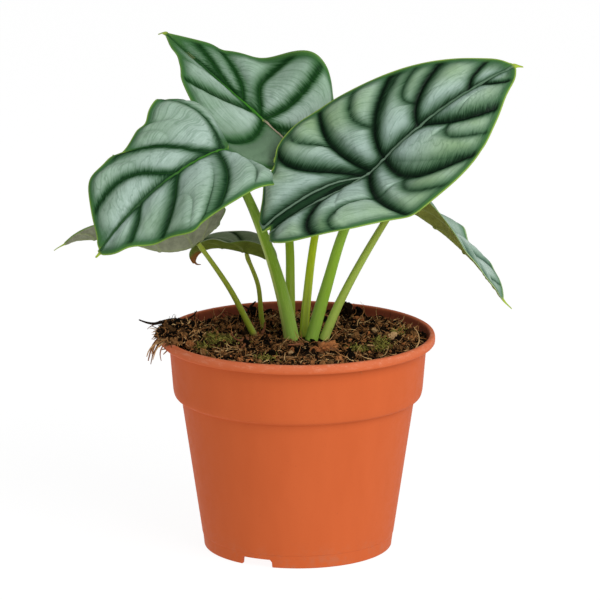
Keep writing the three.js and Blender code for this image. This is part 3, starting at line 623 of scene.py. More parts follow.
BARK_FINISH = fibre_finish("root_bark", (0.016, 0.009, 0.006), (0.30, 0.11, 0.05), (0.60, 0.36, 0.16))
for name, rows, sag, curl in (("roots_and_bark", ROOTS, 0.01, 0.08), ("torn_strips", STRIPS, 0.22, 0.10)):
    bark = strands(name, rows[:, :3], rows[:, 3:6], rows[:, 6], rows[:, 7], sag, curl, 6, 12, rows[:, 8])
    bark.data.materials.append(BARK_FINISH)

# ------------------------------------------------ Moss
# Short yellow-green moss has grown on the peat in a few patches.

MOSS_PATCHES = [  # centre, spread, number of shoots
    (-34, -12, 7, 8, 460), (-42, -24, 3, 4, 90), (36.5, -16, 3.5, 12, 380), (27, -24, 5, 5, 110),
    (-14, -43, 5, 3, 90), (44, 8, 3, 6, 80)]
spots = [normal(0, 0.5, (shoots, 2)) * (wide, deep) + (x, y) for x, y, wide, deep, shoots in MOSS_PATCHES]
x, y = np.concatenate(spots).T
moss = strands(
    "moss", on_bed(x, y, uniform(0.2, 1.9, len(x))), lying(len(x), lift=0.8), uniform(1.2, 3.2, len(x)),
    uniform(0.16, 0.34, len(x)), sag=0.02, curl=0.25, steps=4)
MOSS_FINISH = fibre_finish("moss_green", (0.06, 0.06, 0.010), (0.22, 0.20, 0.035), (0.50, 0.46, 0.10))
moss.data.materials.append(MOSS_FINISH)

# ------------------------------------------------ Crown
# The short corky stem that every stalk grows from, sunk in the peat up to its top, with ridges
# where old stalks fell.

CROWN_CENTRE = array([3.7, 1.0])
CROWN_SPREAD = array([12.0, 9.8])
CROWN_BOTTOM, CROWN_TOP = 64.0, 91.4


def crown():
    """Rings up a turned outline, scaled to an oval and swollen by ring scars and knobs."""
    height, angle = np.linspace(0, 1, 40)[:, None], around(96)[None]
    outline = np.interp(height, [0, 0.04, 0.22, 0.5, 0.75, 0.93, 1], [0.02, 0.35, 0.7, 0.95, 1, 0.95, 0.8])
    scars = 1 - 0.035 * np.abs(sin(11 * pi * height + 0.6 * sin(3 * angle)))
    radius = outline * scars * (1 + 0.02 * sin(7 * angle + 9 * height))
    level = CROWN_CENTRE + CROWN_SPREAD * stack([radius * cos(angle), radius * sin(angle)], -1)
    z = CROWN_BOTTOM + (CROWN_TOP - CROWN_BOTTOM) * (height + 0 * angle)
    rings = np.concatenate([level, z[..., None]], -1)
    return ring_body("crown_stem", rings, (*CROWN_CENTRE, CROWN_BOTTOM), (*CROWN_CENTRE, CROWN_TOP))


def cork_finish():
    """Brown cork with level rings."""
    finish = Finish("crown_cork", 0.9, 0.2)
    tone = finish.mottle(260, stretch=(1, 1, 3))
    finish.colour((0.060, 0.032, 0.016), (tone, (0.22, 0.14, 0.07)))
    finish.bump(tone, 0.4)
    return finish.material


stem = crown()
stem.data.materials.append(cork_finish())
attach(stem, "root")
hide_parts("crown")

# ------------------------------------------------ Leaf stalks
# Smooth fleshy green stalks, thick and sheathed at the foot and grooved along their upper side.
# Each meets its blade from below, swells a little there, and carries it.

# Blade sizes are along the surface: 'front' from the stalk to the tip, 'rear' to the back of
# the lobes. 'heading' is the tip's angle from +X seen from above, 'pitch' its rise, and 'roll'
# lifts the left half. Pairs are for the left and the right half. 'bumps' are soft waves of one
# half: side, place along the blade (0 tip, 1 notch), length, lift, extra width. A vein has the
# distance from the stalk at which it leaves the midrib, that of the row on which it meets the
# margin, and its sag; the right half has the left one's veins unless it has its own. 'stalk' is
# the stalk's path upwards.
LEAF_DEFAULTS = dict(
    roll=0, droop_front=0, droop_power=1, droop_rear=0, kink=0, kink_length=8, twist=0, taper=(0.7, 0.7),
    taper_start=1.6, widest=0, lobe_end=0.96, tail=5, tail_droop=0, strip=0, branches=0.5, dark=1, bumps=[])
LEAVES = {
    "a": dict(
        joint=(29.7, -22, 170.9), heading=4, pitch=49, roll=34, front=80, rear=54, width=(39, 38), notch=4,
        lobe_end=0.985, fold=(9, 12), droop_front=34, droop_rear=32, kink=44, twist=10, taper=(0.84, 0.66),
        tail_droop=35, strip=3.5, branches=1,
        veins_left=[(57, 57, 0), (30, 28, 0), (10, 7, 0), (2, -1, 0), (-1, -9, 0)],
        veins_right=[(62, 64, 0), (30, 39, 4), (10, 9, 4), (1, -1.5, 0), (-14, -30, 0)],
        bumps=[(-1, .48, .2, -7, 0), (-1, .545, .085, 0, 3.4), (-1, .59, .035, 0, 3.2),
               (-1, .67, .03, 0, -.8), (-1, .26, .1, 0, -1.5), (1, .93, .12, 0, -10), (1, .76, .06, 0, -6),
               (1, .637, .03, 0, 3.8), (1, .12, .1, 0, 1), (-1, 1, .06, 0, 2)],
        stalk=[(5.8, -3, 92.4), (11.8, -5, 114.8), (19.5, -12, 142.7)], foot=2.8, top=1.8),
    "b": dict(
        joint=(-31.7, -22, 181.9), heading=214.2, pitch=-12, roll=-18, front=73.6, rear=13, width=(33, 35),
        notch=9, lobe_end=0.9, fold=(-1, 12), droop_front=48, droop_rear=24, kink=-34, taper=(0.6, 0.6),
        tail=2.5, branches=0.6, dark=0.72,
        veins_left=[(46, 47, 0), (24, 28, 0), (4, 5, 0)],
        veins_right=[(24, 46, 12), (5, 12, 0), (1, -1.5, 0)],
        bumps=[(-1, .975, .03, 3, 1.5), (-1, .932, .012, 0, -2), (-1, .88, .045, 0, -4), (-1, 1, .015, -6, 0),
               (-1, .6, .14, 0, 4.8), (-1, .2, .16, 0, -4.2), (-1, .06, .05, 0, -1.5), (1, .54, .16, -4, 1.2),
               (1, .8, .12, 0, 7.5), (1, 1, .05, 0, -1), (1, .4, .14, 0, -2.4)],
        stalk=[(-2.7, -2, 92.6), (-8.2, -6, 119), (-15.1, -12, 142.2), (-21.9, -17, 160.2)],
        foot=3.3, top=1.6),
    "c": dict(
        joint=(-15.7, 24, 186.1), heading=148, pitch=33, roll=-21, front=60, rear=28, width=(36, 30), notch=7,
        lobe_end=0.97, fold=(15, 15), droop_rear=10, taper=(1.1, 1), taper_start=1.4, widest=-6,
        tail_droop=55, branches=0.1, dark=0.72,
        veins_left=[(4, 8.5, 0), (-1, -4, 0)],
        veins_right=[(16, 27, 0), (12, 12, 0), (1.5, -1.5, -6), (0, -5, -2), (-6, -16, 0)],
        bumps=[(-1, .79, .06, 16, 0), (-1, .72, .03, -3, 0), (-1, .62, .06, -2, 0), (1, .54, .15, 0, 5),
               (1, .5, .12, 0, -6.5), (1, .59, .06, 0, -1.6)],
        stalk=[(-3.6, 5.6, 92.3), (-3.4, 8.6, 112.7), (-3.8, 12, 134.4), (-7.4, 17, 159.9)],
        foot=2.2, top=1.5),
    "d": dict(
        joint=(43.2, 9, 151.6), heading=5, pitch=-27, roll=-20, front=64, rear=21, width=(27, 27), notch=6,
        fold=(6, 6), droop_front=34, twist=31, tail=6, tail_droop=-18,
        veins_left=[(52, 52, 0), (37, 37, 0), (20, 20, 0), (4, 4, 0), (-3, -7, 0)],
        bumps=[(1, .7, .07, 4.8, 0), (1, .41, .06, 1, 0), (1, .25, .22, 1.2, 0), (-1, .66, .1, -1.2, 0),
               (-1, .2, .15, .8, 0)],
        stalk=[(11.2, -1, 92.5), (18.3, 0, 109.3), (27.5, 3, 126.5), (39.5, 7, 146)], foot=2.2, top=1.5),
    "e": dict(
        joint=(-43.8, -8, 138), heading=182, pitch=19.5, roll=26, front=60, rear=18, width=(24, 24), notch=5,
        fold=(21, 18), droop_front=44, droop_power=3, droop_rear=48, kink=112, kink_length=27,
        veins_left=[(46, 46, 0), (31, 31, 0), (17, 17, 0), (3, 3, 0), (-2, -5, 0)],
        stalk=[(-10.3, 1.5, 79), (-18.4, 2, 92.5), (-29.6, -2, 115.4)], foot=1.7, top=1),
    "f": dict(
        joint=(-22.4, 19, 127.1), heading=180, pitch=13, roll=5, front=26.5, rear=14, width=(13, 13), notch=4,
        fold=(31, 31), droop_front=104, droop_power=3, droop_rear=18, taper=(0.55, 0.55), branches=0,
        tail=2.6, tail_droop=60,
        veins_left=[(19, 19, 0), (11, 11, 0), (2, 2, 0)],
        bumps=[(1, .67, .06, -2, 0), (1, .3, .2, 1.5, 0), (-1, .8, .1, 1.2, 0)],
        stalk=[(-6.6, 9.4, 77), (-13, 16, 86), (-15.8, 19, 96), (-17.6, 19, 112.3)], foot=1.3, top=0.9),
    "g": dict(
        joint=(14, 22, 163.4), heading=52, pitch=20, front=34, rear=12, width=(12, 12), notch=3,
        fold=(30, 30), droop_front=30, droop_rear=20, branches=0,
        veins_left=[(24, 24, 0), (14, 14, 0), (3, 3, 0)],
        stalk=[(2.6, 4.9, 92.2), (4.2, 8, 111.7), (7.5, 13.5, 135.7)], foot=2.1, top=1.4),
}
for letter, leaf in LEAVES.items():
    leaf = SimpleNamespace(**{**LEAF_DEFAULTS, "veins_right": leaf["veins_left"], **leaf})
    leaf.half = sum(leaf.width) / 2
    leaf.size = float(np.clip(leaf.half / 34, 0.35, 1))  # against a full-grown blade
    leaf.sinus = leaf.rear * leaf.lobe_end - leaf.notch
    LEAVES[letter] = leaf
STALK_ROWS, STALK_SIDES = 150, 40
SHEATH_END = (0.22, 0.42)  # where the sheath closes, of the way up
SHEATH_LIP = 0.55  # angle of the sheath's lips from the groove, in radians
TOP_SWELLING = 0.16


def ease(a, b, x):
    """A smooth step from 0 to 1 while x goes from a to b."""
    u = np.clip((x - a) / (b - a), 0, 1)
    return u * u * (3 - 2 * u)


def rib_angle(leaf, x):
    """The midrib's angle in radians at a distance from the stalk: droop in front and behind,
    and a kink at the stalk."""
    droop = -leaf.droop_front * (np.maximum(x, 0) / leaf.front) ** leaf.droop_power
    droop = droop + leaf.droop_rear * np.maximum(-x, 0) / leaf.rear
    kink = leaf.kink * ease(-leaf.kink_length, leaf.kink_length, -x)
    return np.radians(droop - kink - leaf.tail_droop * ease(leaf.front - 1, leaf.front + leaf.tail / 2, x))


def placement(leaf):
    """Rotation from the blade's own axes to the pot's: roll, then pitch, then heading."""
    h, p, r = np.radians([leaf.heading, leaf.pitch, leaf.roll])
    roll = array([[1, 0, 0], [0, cos(r), -sin(r)], [0, sin(r), cos(r)]])
    pitch = array([[cos(p), 0, -sin(p)], [0, 1, 0], [sin(p), 0, cos(p)]])
    heading = array([[cos(h), -sin(h), 0], [sin(h), cos(h), 0], [0, 0, 1]])
    return heading @ pitch @ roll


def smooth_path(points, count):
    """A curve through the points: cubic pieces whose slope at a point is that of the parabola
    through it and its neighbours, over a parameter that grows with the root of the distance."""
    points = array(points, float)
    gaps = np.linalg.norm(np.diff(points, axis=0), axis=1) ** 0.5
    knots = np.concatenate([[0], np.cumsum(gaps)])
    slopes = np.gradient(points, knots, axis=0, edge_order=2)
    t = np.linspace(0, knots[-1], 4 * count)
    k = np.clip(np.searchsorted(knots, t, side="right") - 1, 0, len(knots) - 2)
    span = gaps[k][:, None]
    u = (t - knots[k])[:, None] / span
    curve = ((2 * u**3 - 3 * u**2 + 1) * points[k] + (u**3 - 2 * u**2 + u) * span * slopes[k]
             + (3 * u**2 - 2 * u**3) * points[k + 1] + (u**3 - u**2) * span * slopes[k + 1])
    length = np.concatenate([[0], np.cumsum(np.linalg.norm(np.diff(curve, axis=0), axis=1))])
    even = np.linspace(0, length[-1], count)
    return stack([np.interp(even, length, curve[:, axis]) for axis in range(3)], -1), length[-1]


def stalk(letter, leaf):
    """Rings along the path. The radius shrinks from foot to top and swells under the blade; an
    open sheath clasps the lower third, and a groove runs up the side that faces the middle."""
    angle = rib_angle(leaf, 0.0)
    up = placement(leaf) @ array([-sin(angle), 0, cos(angle)])
    gap = 0.2 + 0.03 * leaf.half
    joint = array(leaf.joint)
    neck = joint - unit(up + 1.5 * unit(joint - leaf.stalk[-1])) * (gap + 2 * leaf.top)
    path, length = smooth_path([*leaf.stalk, neck, joint - up * gap], STALK_ROWS)
    along = np.linspace(0, 1, STALK_ROWS)[:, None]
    tangent = unit(np.gradient(path, axis=0))
    inward = array([CROWN_CENTRE[0], CROWN_CENTRE[1] + 0.001, 0]) - path
    inward[:, 2] = 6.0
    inward = unit(inward - tangent * (inward * tangent).sum(1, keepdims=True))
    beside = np.cross(tangent, inward)
    angle = around(STALK_SIDES)[None]
    aside = np.minimum(angle, 2 * pi - angle)
    radius = leaf.foot + (leaf.top - leaf.foot) * along**0.9
    radius = radius * (1 + TOP_SWELLING * bell(along - 0.955, 0.03))
    clasp = 1 - ease(*SHEATH_END, along)
    lips, groove = bell(aside - SHEATH_LIP, 0.16), bell(aside, 0.42)
    radius = radius * (1 + 0.10 * clasp * lips - (0.10 + 0.05 * clasp) * groove)
    radius = radius * (1 + 0.006 * sin(9 * angle + 3 * along))
    rings = (path[:, None] + inward[:, None] * (radius * cos(angle))[..., None]
             + beside[:, None] * (radius * sin(angle))[..., None])
    piece = ring_body(f"leaf_stalk_{letter}", rings, path[0], path[-1])
    values = {"along": along, "run": along * length, "turn_x": cos(angle), "turn_y": sin(angle),
              "sheath": clasp * np.clip(lips + 0.6 * groove, 0, 1)}
    for name, value in values.items():
        value = np.broadcast_to(value, (STALK_ROWS, STALK_SIDES)).ravel()
        write(piece, name, np.append(value, [value[0], value[-1]]))
    return piece


STALK_TINTS = {  # colours at the foot, in the middle and under the blade
    "a": ((.27, .46, .06), (.28, .50, .03), (.12, .22, .008)),
    # b's colour under the blade is partly its own darker green and partly painted shade from the blades above
    "b": ((.27, .43, .07), (.18, .33, .012), (.06, .11, .008)),
    "c": ((.31, .48, .02), (.31, .49, .012), (.34, .50, .02)),
    "d": ((.40, .52, .10), (.36, .48, .07), (.32, .40, .05)),
    "e": ((.26, .34, .03), (.26, .31, .02), (.28, .34, .03)),
    "f": ((.28, .34, .03), (.36, .43, .03), (.38, .43, .04)),
    "g": ((.52, .66, .04), (.58, .74, .010), (.60, .76, .02)),
}


def stalk_finish(letter):
    """Green flesh that changes from foot to top, with fine pale stripes and specks along it, and a pale edge
    on the sheath. Stalk e has a brown foot, and b a pale strip on its outer side; b's darker colour under the
    blade is partly painted shade from the blades above."""
    foot, middle, top = STALK_TINTS[letter]
    flesh = Finish(f"stalk_flesh_{letter}", 0.38, 0.15, Subsurface_Weight=0.12,
                   Subsurface_Radius=(0.6, 1.0, 0.3), Subsurface_Scale=0.0012)
    along, turn_x = flesh.read("along"), flesh.read("turn_x")
    run = flesh.times(flesh.read("run"), 0.035)
    skin = flesh.node("CombineXYZ", 0, {0: turn_x, 1: flesh.read("turn_y"), 2: run})
    stripes = flesh.mottle(5.5, 3.0, 0.42, 0.66, on=skin)
    layers = [(flesh.step(along, 0.0, 0.45), middle), (flesh.step(along, 0.5, 1.0), top),
              (stripes, (0.40, 0.52, 0.12), 0.25),
              (flesh.mottle(1300, 1.7, 0.60, 0.70), (0.46, 0.56, 0.22), 0.25),
              (flesh.read("sheath"), (0.44, 0.52, 0.12), 0.6)]
    if letter == "e":
        layers.append((flesh.step(along, 0.29, 0.24), (0.24, 0.11, 0.045)))
    if letter == "b":
        outer = flesh.times(flesh.step(turn_x, -0.80, -0.95), flesh.step(along, 0.75, 0.45))
        layers.append((outer, (0.56, 0.66, 0.16), 0.7))
    flesh.colour(foot, *layers)
    flesh.bump(stripes, 0.08, 0.6)
    return flesh.material


for letter, leaf in LEAVES.items():
    piece = stalk(letter, leaf)
    piece.data.materials.append(stalk_finish(letter))
    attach(piece, "root")
    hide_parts(f"stalk_{letter}")

# ------------------------------------------------ Blades
# Thick leathery leaf blades, swollen like pillows between deep side veins, silver on the
# swellings and dark green along the veins, with a yellow-green margin and a paler underside.

BLADE_THICKNESS = 0.5
QUILT = 0.125  # rise of a swelling, as a share of the half width
PILLOW_REACH = 5.0  # how far from a vein a swelling is nearly full
VEIN_GROOVE = 0.42
MARGIN_GROOVE = 0.30
MARGIN_VEIN = 2.6  # distance of the vein that runs inside the margin
RIB_GROOVE = 0.55
RIB_CORD = 0.50  # the midrib stands up again in its groove
RIB_SHARE = 0.022  # depth of the rib under the blade, as a share of the half width
VEIN_RELIEF = 0.35  # under the blade
BRANCH_START = 0.50  # of the way out
BRANCH_SHARE = 0.55  # of the way to the vein behind
SHADE_AHEAD = 1.4  # the dark band is wider on the tip side of a vein than behind it, partly the leaf's own colour and partly painted shade on the slope that faces away from the light
SHADE_BEHIND = 0.85
SHADE_BLEND = 0.9
TAIL_HALF_WIDTH = 0.3
TAIL_SHARE = 0.012  # of the half width, added to it
TAIL_FLARE = 0.6
SWING = 9.0  # half the stretch of midrib over which the veins swing from front to rear
LEAN_FORWARD = 0.35  # lean of a front vein to the tip, as a share of the half width
LEAN_BACK = 0.65  # lean of a rear vein to the lobe, as a share of the rear
TURN = 0.5  # how far a vein turns forward at the margin, as a share of the half width
NOTCH_LEAN = 1.5  # how far the last row runs back along a lobe, in depths of the notch
NOTCH_TURN = 0.5  # and how far it comes forward again
LOBE_ROUNDNESS = 2.4  # power that rounds the outline behind the widest place
COCKLE = 0.12  # fine unevenness of the blade
BEND_STEPS = 80
FAR = 99.0  # distance that stands for no vein on this half


def dense(low, high, count, places, reach, gain):
    """Values from low to high, closer together near some places: even steps of the running sum
    of 1 + gain * exp(-(distance / reach)^2)."""
    fine = np.linspace(low, high, 6000)
    nearest = np.abs(fine[:, None] - array(places)).min(1)
    total = np.cumsum(1 + gain * bell(nearest, reach))
    return np.interp(np.linspace(total[0], total[-1], count), total, fine)


def bump_waves(leaf, along, across):
    """Lift and extra width of each bump on its own half: a bell along the blade."""
    place = (leaf.front - along) / (leaf.front + leaf.sinus)
    for side, centre, length, lift, extra in leaf.bumps:
        wave = where(np.sign(across) == side, bell(place - centre, length), 0)
        yield lift * wave, extra * wave


def flat_blade(leaf, along, across):
    """The blade laid flat. Each row leaves the midrib at 'along' and runs out as a side vein
    does: leaning to the tip in front and to the lobes behind, then turning forward. The outline
    is a rounded lobe behind the widest place, a taper to the tip in front, and a thin tail."""
    a = np.abs(across)
    near = min(SWING, leaf.sinus)
    to_tip = 1 - np.clip(along / leaf.front, 0, 1) ** 2
    behind = 1 - ease(-near, SWING, along)
    at_notch = 1 - ease(-leaf.sinus, -near / 2, along)
    lean = LEAN_FORWARD * leaf.half * to_tip * (1 - behind) - NOTCH_LEAN * leaf.notch * at_notch
    lean -= LEAN_BACK * leaf.rear * behind * (1 - at_notch)
    turn = TURN * leaf.half * to_tip * (1 - at_notch) + NOTCH_TURN * leaf.notch * at_notch
    ahead = along + lean + turn - leaf.widest
    front = np.clip(ahead / (leaf.front - leaf.widest), 0, 1)
    rear = np.clip(-ahead / (leaf.rear + leaf.widest), 0, 1)
    half = where(across > 0, *leaf.width) * (1 - front**leaf.taper_start) ** where(across > 0, *leaf.taper)
    half = half * np.sqrt(1 - rear**LOBE_ROUNDNESS)
    for _, extra in bump_waves(leaf, along, across):
        half = half + extra
    tail = np.clip((along - leaf.front) / leaf.tail, 0, 1)
    flare = TAIL_FLARE * bell(along - leaf.front, 3)
    half = half + (TAIL_HALF_WIDTH + TAIL_SHARE * leaf.half + flare) * (1 - 0.6 * tail)
    return along + lean * a + turn * a**3, half * across


def bent(leaf, x, y, height):
    """The flat blade folded up from the midrib, bent along it, twisted, and put on its stalk. The
    bend is the sum of the midrib's directions from the stalk to x."""
    fold = np.radians(where(y > 0, *leaf.fold))
    lateral = y * cos(fold)
    raised = (np.sqrt(y**2 + 0.8) - 0.8**0.5) * sin(fold) + height
    rib_x, rib_z = np.zeros_like(x), np.zeros_like(x)
    for k in range(BEND_STEPS):
        angle = rib_angle(leaf, x * (k + 0.5) / BEND_STEPS)
        rib_x += cos(angle) * x / BEND_STEPS
        rib_z += sin(angle) * x / BEND_STEPS
    twist = np.radians(leaf.twist * x / leaf.front)
    y, z = lateral * cos(twist) - raised * sin(twist), lateral * sin(twist) + raised * cos(twist)
    angle = rib_angle(leaf, x)
    points = stack([rib_x - sin(angle) * z, y, rib_z + cos(angle) * z], -1)
    return points @ placement(leaf).T + array(leaf.joint)


def vein_path(vein, a):
    """Place along the blade of a side vein, a of the way out: it runs from its root to its
    outer row as 1 - exp(-a / 0.25), and sags towards the stalk as 4 a (1 - a)."""
    root, outer, sag = vein
    return root + (outer - root) * (1 - exp(-a / 0.25)) / (1 - exp(-4.0)) - 4 * sag * a * (1 - a)


def swelling(leaf, distance):
    """How far a swelling has risen at a distance from a vein: 1 - exp(-(distance / reach)^1.6)."""
    return 1 - exp(-((distance / (PILLOW_REACH * leaf.size)) ** 1.6))


def quilting(leaf, along, across, rib, away):
    """Distances in mm from the side veins and their branches, a blended distance for the colour, and the
    product of the swellings. A branch leaves a vein near its middle and runs part of the way to the vein
    behind, which closes off a small outer panel. The blend is -k log(sum of exp(-distance / k)). On the tip
    side of a vein the colour distance is shortened, which widens the dark band there, partly as painted shade
    on the slope that faces away from the light."""
    a = np.abs(across)
    blend = SHADE_BLEND * leaf.size
    vein, branch = np.full_like(along, FAR), np.full_like(along, FAR)
    pillow, total = np.ones_like(along), exp(-rib / blend)
    for veins, here in ((leaf.veins_left, across >= 0), (leaf.veins_right, across < 0)):
        lines = [vein_path(one, a) for one in veins]
        for number, line in enumerate(lines):
            distance = where(here, away(along - line), FAR)
            vein = np.minimum(vein, distance)
            # partly painted shade: the dark band reaches further on each vein's tip side, where the
            # swelling's slope faces away from the light
            total += exp(-distance / where(along > line, SHADE_AHEAD, SHADE_BEHIND) / blend)
            pillow *= swelling(leaf, distance)
            if number + 1 < len(lines) and veins[number][0] < 0.6 * leaf.front:
                share = BRANCH_SHARE * (1 - exp(-np.maximum(a - BRANCH_START, 0) / 0.12))
                off = away(along - line - (lines[number + 1] - line) * share)
                off = np.hypot(off, leaf.half * np.maximum(BRANCH_START - a, 0))
                off = where(here, off, FAR) + 5 * (1 - leaf.branches)
                branch = np.minimum(branch, off)
                total += exp(-(off + 1.2 * leaf.size) / blend)
    return vein, -blend * np.log(total), branch, pillow


def blade(letter, leaf, rows, columns):
    """A closed sheet on a grid of rows along the side veins and columns along the midrib. The
    top swells between the veins and drops into a groove on each; the veins stand out below."""
    front, sinus, half, size = leaf.front, leaf.sinus, leaf.half, leaf.size
    roots = [one[0] for one in leaf.veins_left + leaf.veins_right]
    across = dense(-1, 1, columns, [-1, 0, 1], 0.06, 1.8)[None] + np.zeros((rows, 1))
    along = dense(front + leaf.tail, -sinus, rows, roots + [-sinus], 1.3, 1.2)[:, None] + 0 * across
    x, y = flat_blade(leaf, along, across)
    by_row = stack([np.gradient(x, axis=0), np.gradient(y, axis=0)], -1)
    by_column = stack([np.gradient(x, axis=1), np.gradient(y, axis=1)], -1)
    area = np.abs(by_row[..., 0] * by_column[..., 1] - by_row[..., 1] * by_column[..., 0])

    def away(field):
        """Distance in mm from where a field is zero: the field over its slope on the blade."""
        slope = np.gradient(field, axis=0)[..., None] * by_column
        slope -= np.gradient(field, axis=1)[..., None] * by_row
        return np.abs(field) * area / (np.linalg.norm(slope, axis=2) + 1e-9)

    a = np.abs(across)
    middle_rib = away(across)
    margin = np.minimum(away(1 - a), away(along + sinus))
    to_tip = 1 - ease(0.75 * front, front, along)
    strip = leaf.strip * ease(0, 14, -along)  # half width of the smooth strip between rear veins
    rib = where(strip > 0.4, np.abs(middle_rib - strip), middle_rib)
    vein, shade, branch, pillow = quilting(leaf, along, across, rib, away)
    quilted = where((strip > 0.1) & (middle_rib < strip), 0, 1)
    pillow *= swelling(leaf, rib) * swelling(leaf, margin) * quilted * to_tip
    pillow *= 1 - 0.5 * bell(branch, 0.55 * PILLOW_REACH * size)
    groove = VEIN_GROOVE * size * (1 - ease(0.86, 1, a)) * (0.25 + 0.75 * to_tip)
    height = QUILT * half * pillow - groove * bell(vein, 0.9 * size) * quilted
    height -= 0.5 * groove * bell(branch, 0.7 * size) * ease(0, 1.5, margin)
    height -= MARGIN_GROOVE * size * bell(margin - MARGIN_VEIN * size, 0.6 * size)
    height -= RIB_GROOVE * size * bell(rib, 1.3 * size) * (0.3 + 0.7 * to_tip)
    height += RIB_CORD * size * bell(rib, 0.45 * size) * (0.4 + 0.6 * to_tip)
    height += COCKLE * size * rough(x, y, 7.0, ord(letter), octaves=3) * ease(0, 3, margin)
    for lift, _ in bump_waves(leaf, along, across):
        height += lift * across**2
    middle = bent(leaf, x, y, height)
    outward = unit(np.cross(np.gradient(middle, axis=1), np.gradient(middle, axis=0)))
    thick = BLADE_THICKNESS / 2 * (0.45 + 0.55 * ease(0, 1.0, margin))
    ribs = RIB_SHARE * half * (1 - ease(0.5 * front, front, along)) * bell(middle_rib, 0.05 * half)
    ribs += VEIN_RELIEF * size**3 * bell(vein, 0.6 * size) * (1 - ease(0.45, 0.75, a))
    top = middle + outward * thick[..., None]
    under = middle - outward * (thick + ribs)[..., None]
    count = rows * columns
    index = np.arange(count).reshape(rows, columns)
    edge = np.concatenate([index[0], index[1:, -1], index[-1, -2::-1], index[-2:0:-1, 0]])
    ahead = np.roll(edge, -1)
    wall = stack([ahead, edge, edge + count, ahead + count], 1)
    faces = grid_faces(rows, columns)
    faces = np.concatenate([faces, faces[:, ::-1] + count, wall])
    vertices = np.concatenate([top.reshape(-1, 3), under.reshape(-1, 3)])
    piece = add_mesh(f"leaf_blade_{letter}", vertices, faces.tolist())
    values = {"vein": vein, "shade": shade, "rib": rib, "margin": margin, "outer": across, "forward": along,
              "out": np.cumsum(np.linalg.norm(by_column, axis=2), axis=1),
              "strip": where(strip > 0.1, ease(-0.6, 0.6, strip - middle_rib), 0)}
    for name, value in values.items():
        write(piece, name, np.tile(np.minimum(value, 200).ravel(), 2))
    write(piece, "under", np.repeat([0.0, 1.0], count))
    return piece


# the third tint colours the thin line in each vein's groove: partly the vein's own colour, partly painted
# shade
TINTS = ("silver", "warm", "crease", "dark", "green", "rib", "far_rib", "edge", "under")
BLADE_TINTS = {
    "a": [(.45, .59, .53), (.34, .50, .28), (.001, .005, .002), (.002, .012, .004), (.036, .108, .044),
          (.14, .22, .15), (.10, .18, .11), (.28, .42, .07), (.16, .19, .07)],
    "b": [(.47, .61, .54), (.32, .46, .33), (.012, .060, .012), (.005, .030, .009), (.036, .115, .042),
          (.05, .19, .02), (.03, .09, .03), (.20, .34, .05), (.17, .18, .10)],
    "c": [(.50, .64, .56), (.30, .45, .32), (.010, .060, .008), (.004, .034, .006), (.034, .120, .034),
          (.05, .21, .02), (.02, .08, .02), (.12, .24, .05), (.17, .18, .10)],
    "d": [(.48, .59, .54), (.42, .54, .46), (.04, .08, .05), (.060, .120, .085), (.160, .270, .190),
          (.12, .24, .12), (.10, .18, .10), (.36, .48, .24), (.27, .29, .06)],
    "e": [(.36, .46, .37), (.36, .46, .35), (.03, .06, .03), (.030, .060, .030), (.120, .190, .120),
          (.10, .20, .06), (.06, .12, .04), (.16, .22, .10), (.27, .29, .19)],
    "f": [(.30, .37, .24), (.32, .39, .24), (.015, .035, .01), (.020, .045, .012), (.070, .120, .045),
          (.14, .24, .06), (.10, .12, .04), (.50, .55, .38), (.21, .26, .04)],
    "g": [(.30, .44, .32), (.30, .44, .26), (.02, .07, .02), (.010, .050, .016), (.050, .135, .050),
          (.14, .30, .05), (.08, .18, .04), (.20, .32, .06), (.24, .26, .10)],
}
MARGIN_GREEN = (0.060, 0.170, 0.040)
VEIN_BELOW = (0.27, 0.33, 0.10)
EDGE_BELOW = (0.16, 0.26, 0.05)
# painted shade for the rear part of blade c
LOBE_PAINTED_SHADE = (0.12, 0.20, 0.12)
PINK_RIB = (0.34, 0.27, 0.20)
DRY_TIP = (0.36, 0.14, 0.035)
TAIL_GREEN = (0.36, 0.48, 0.05)


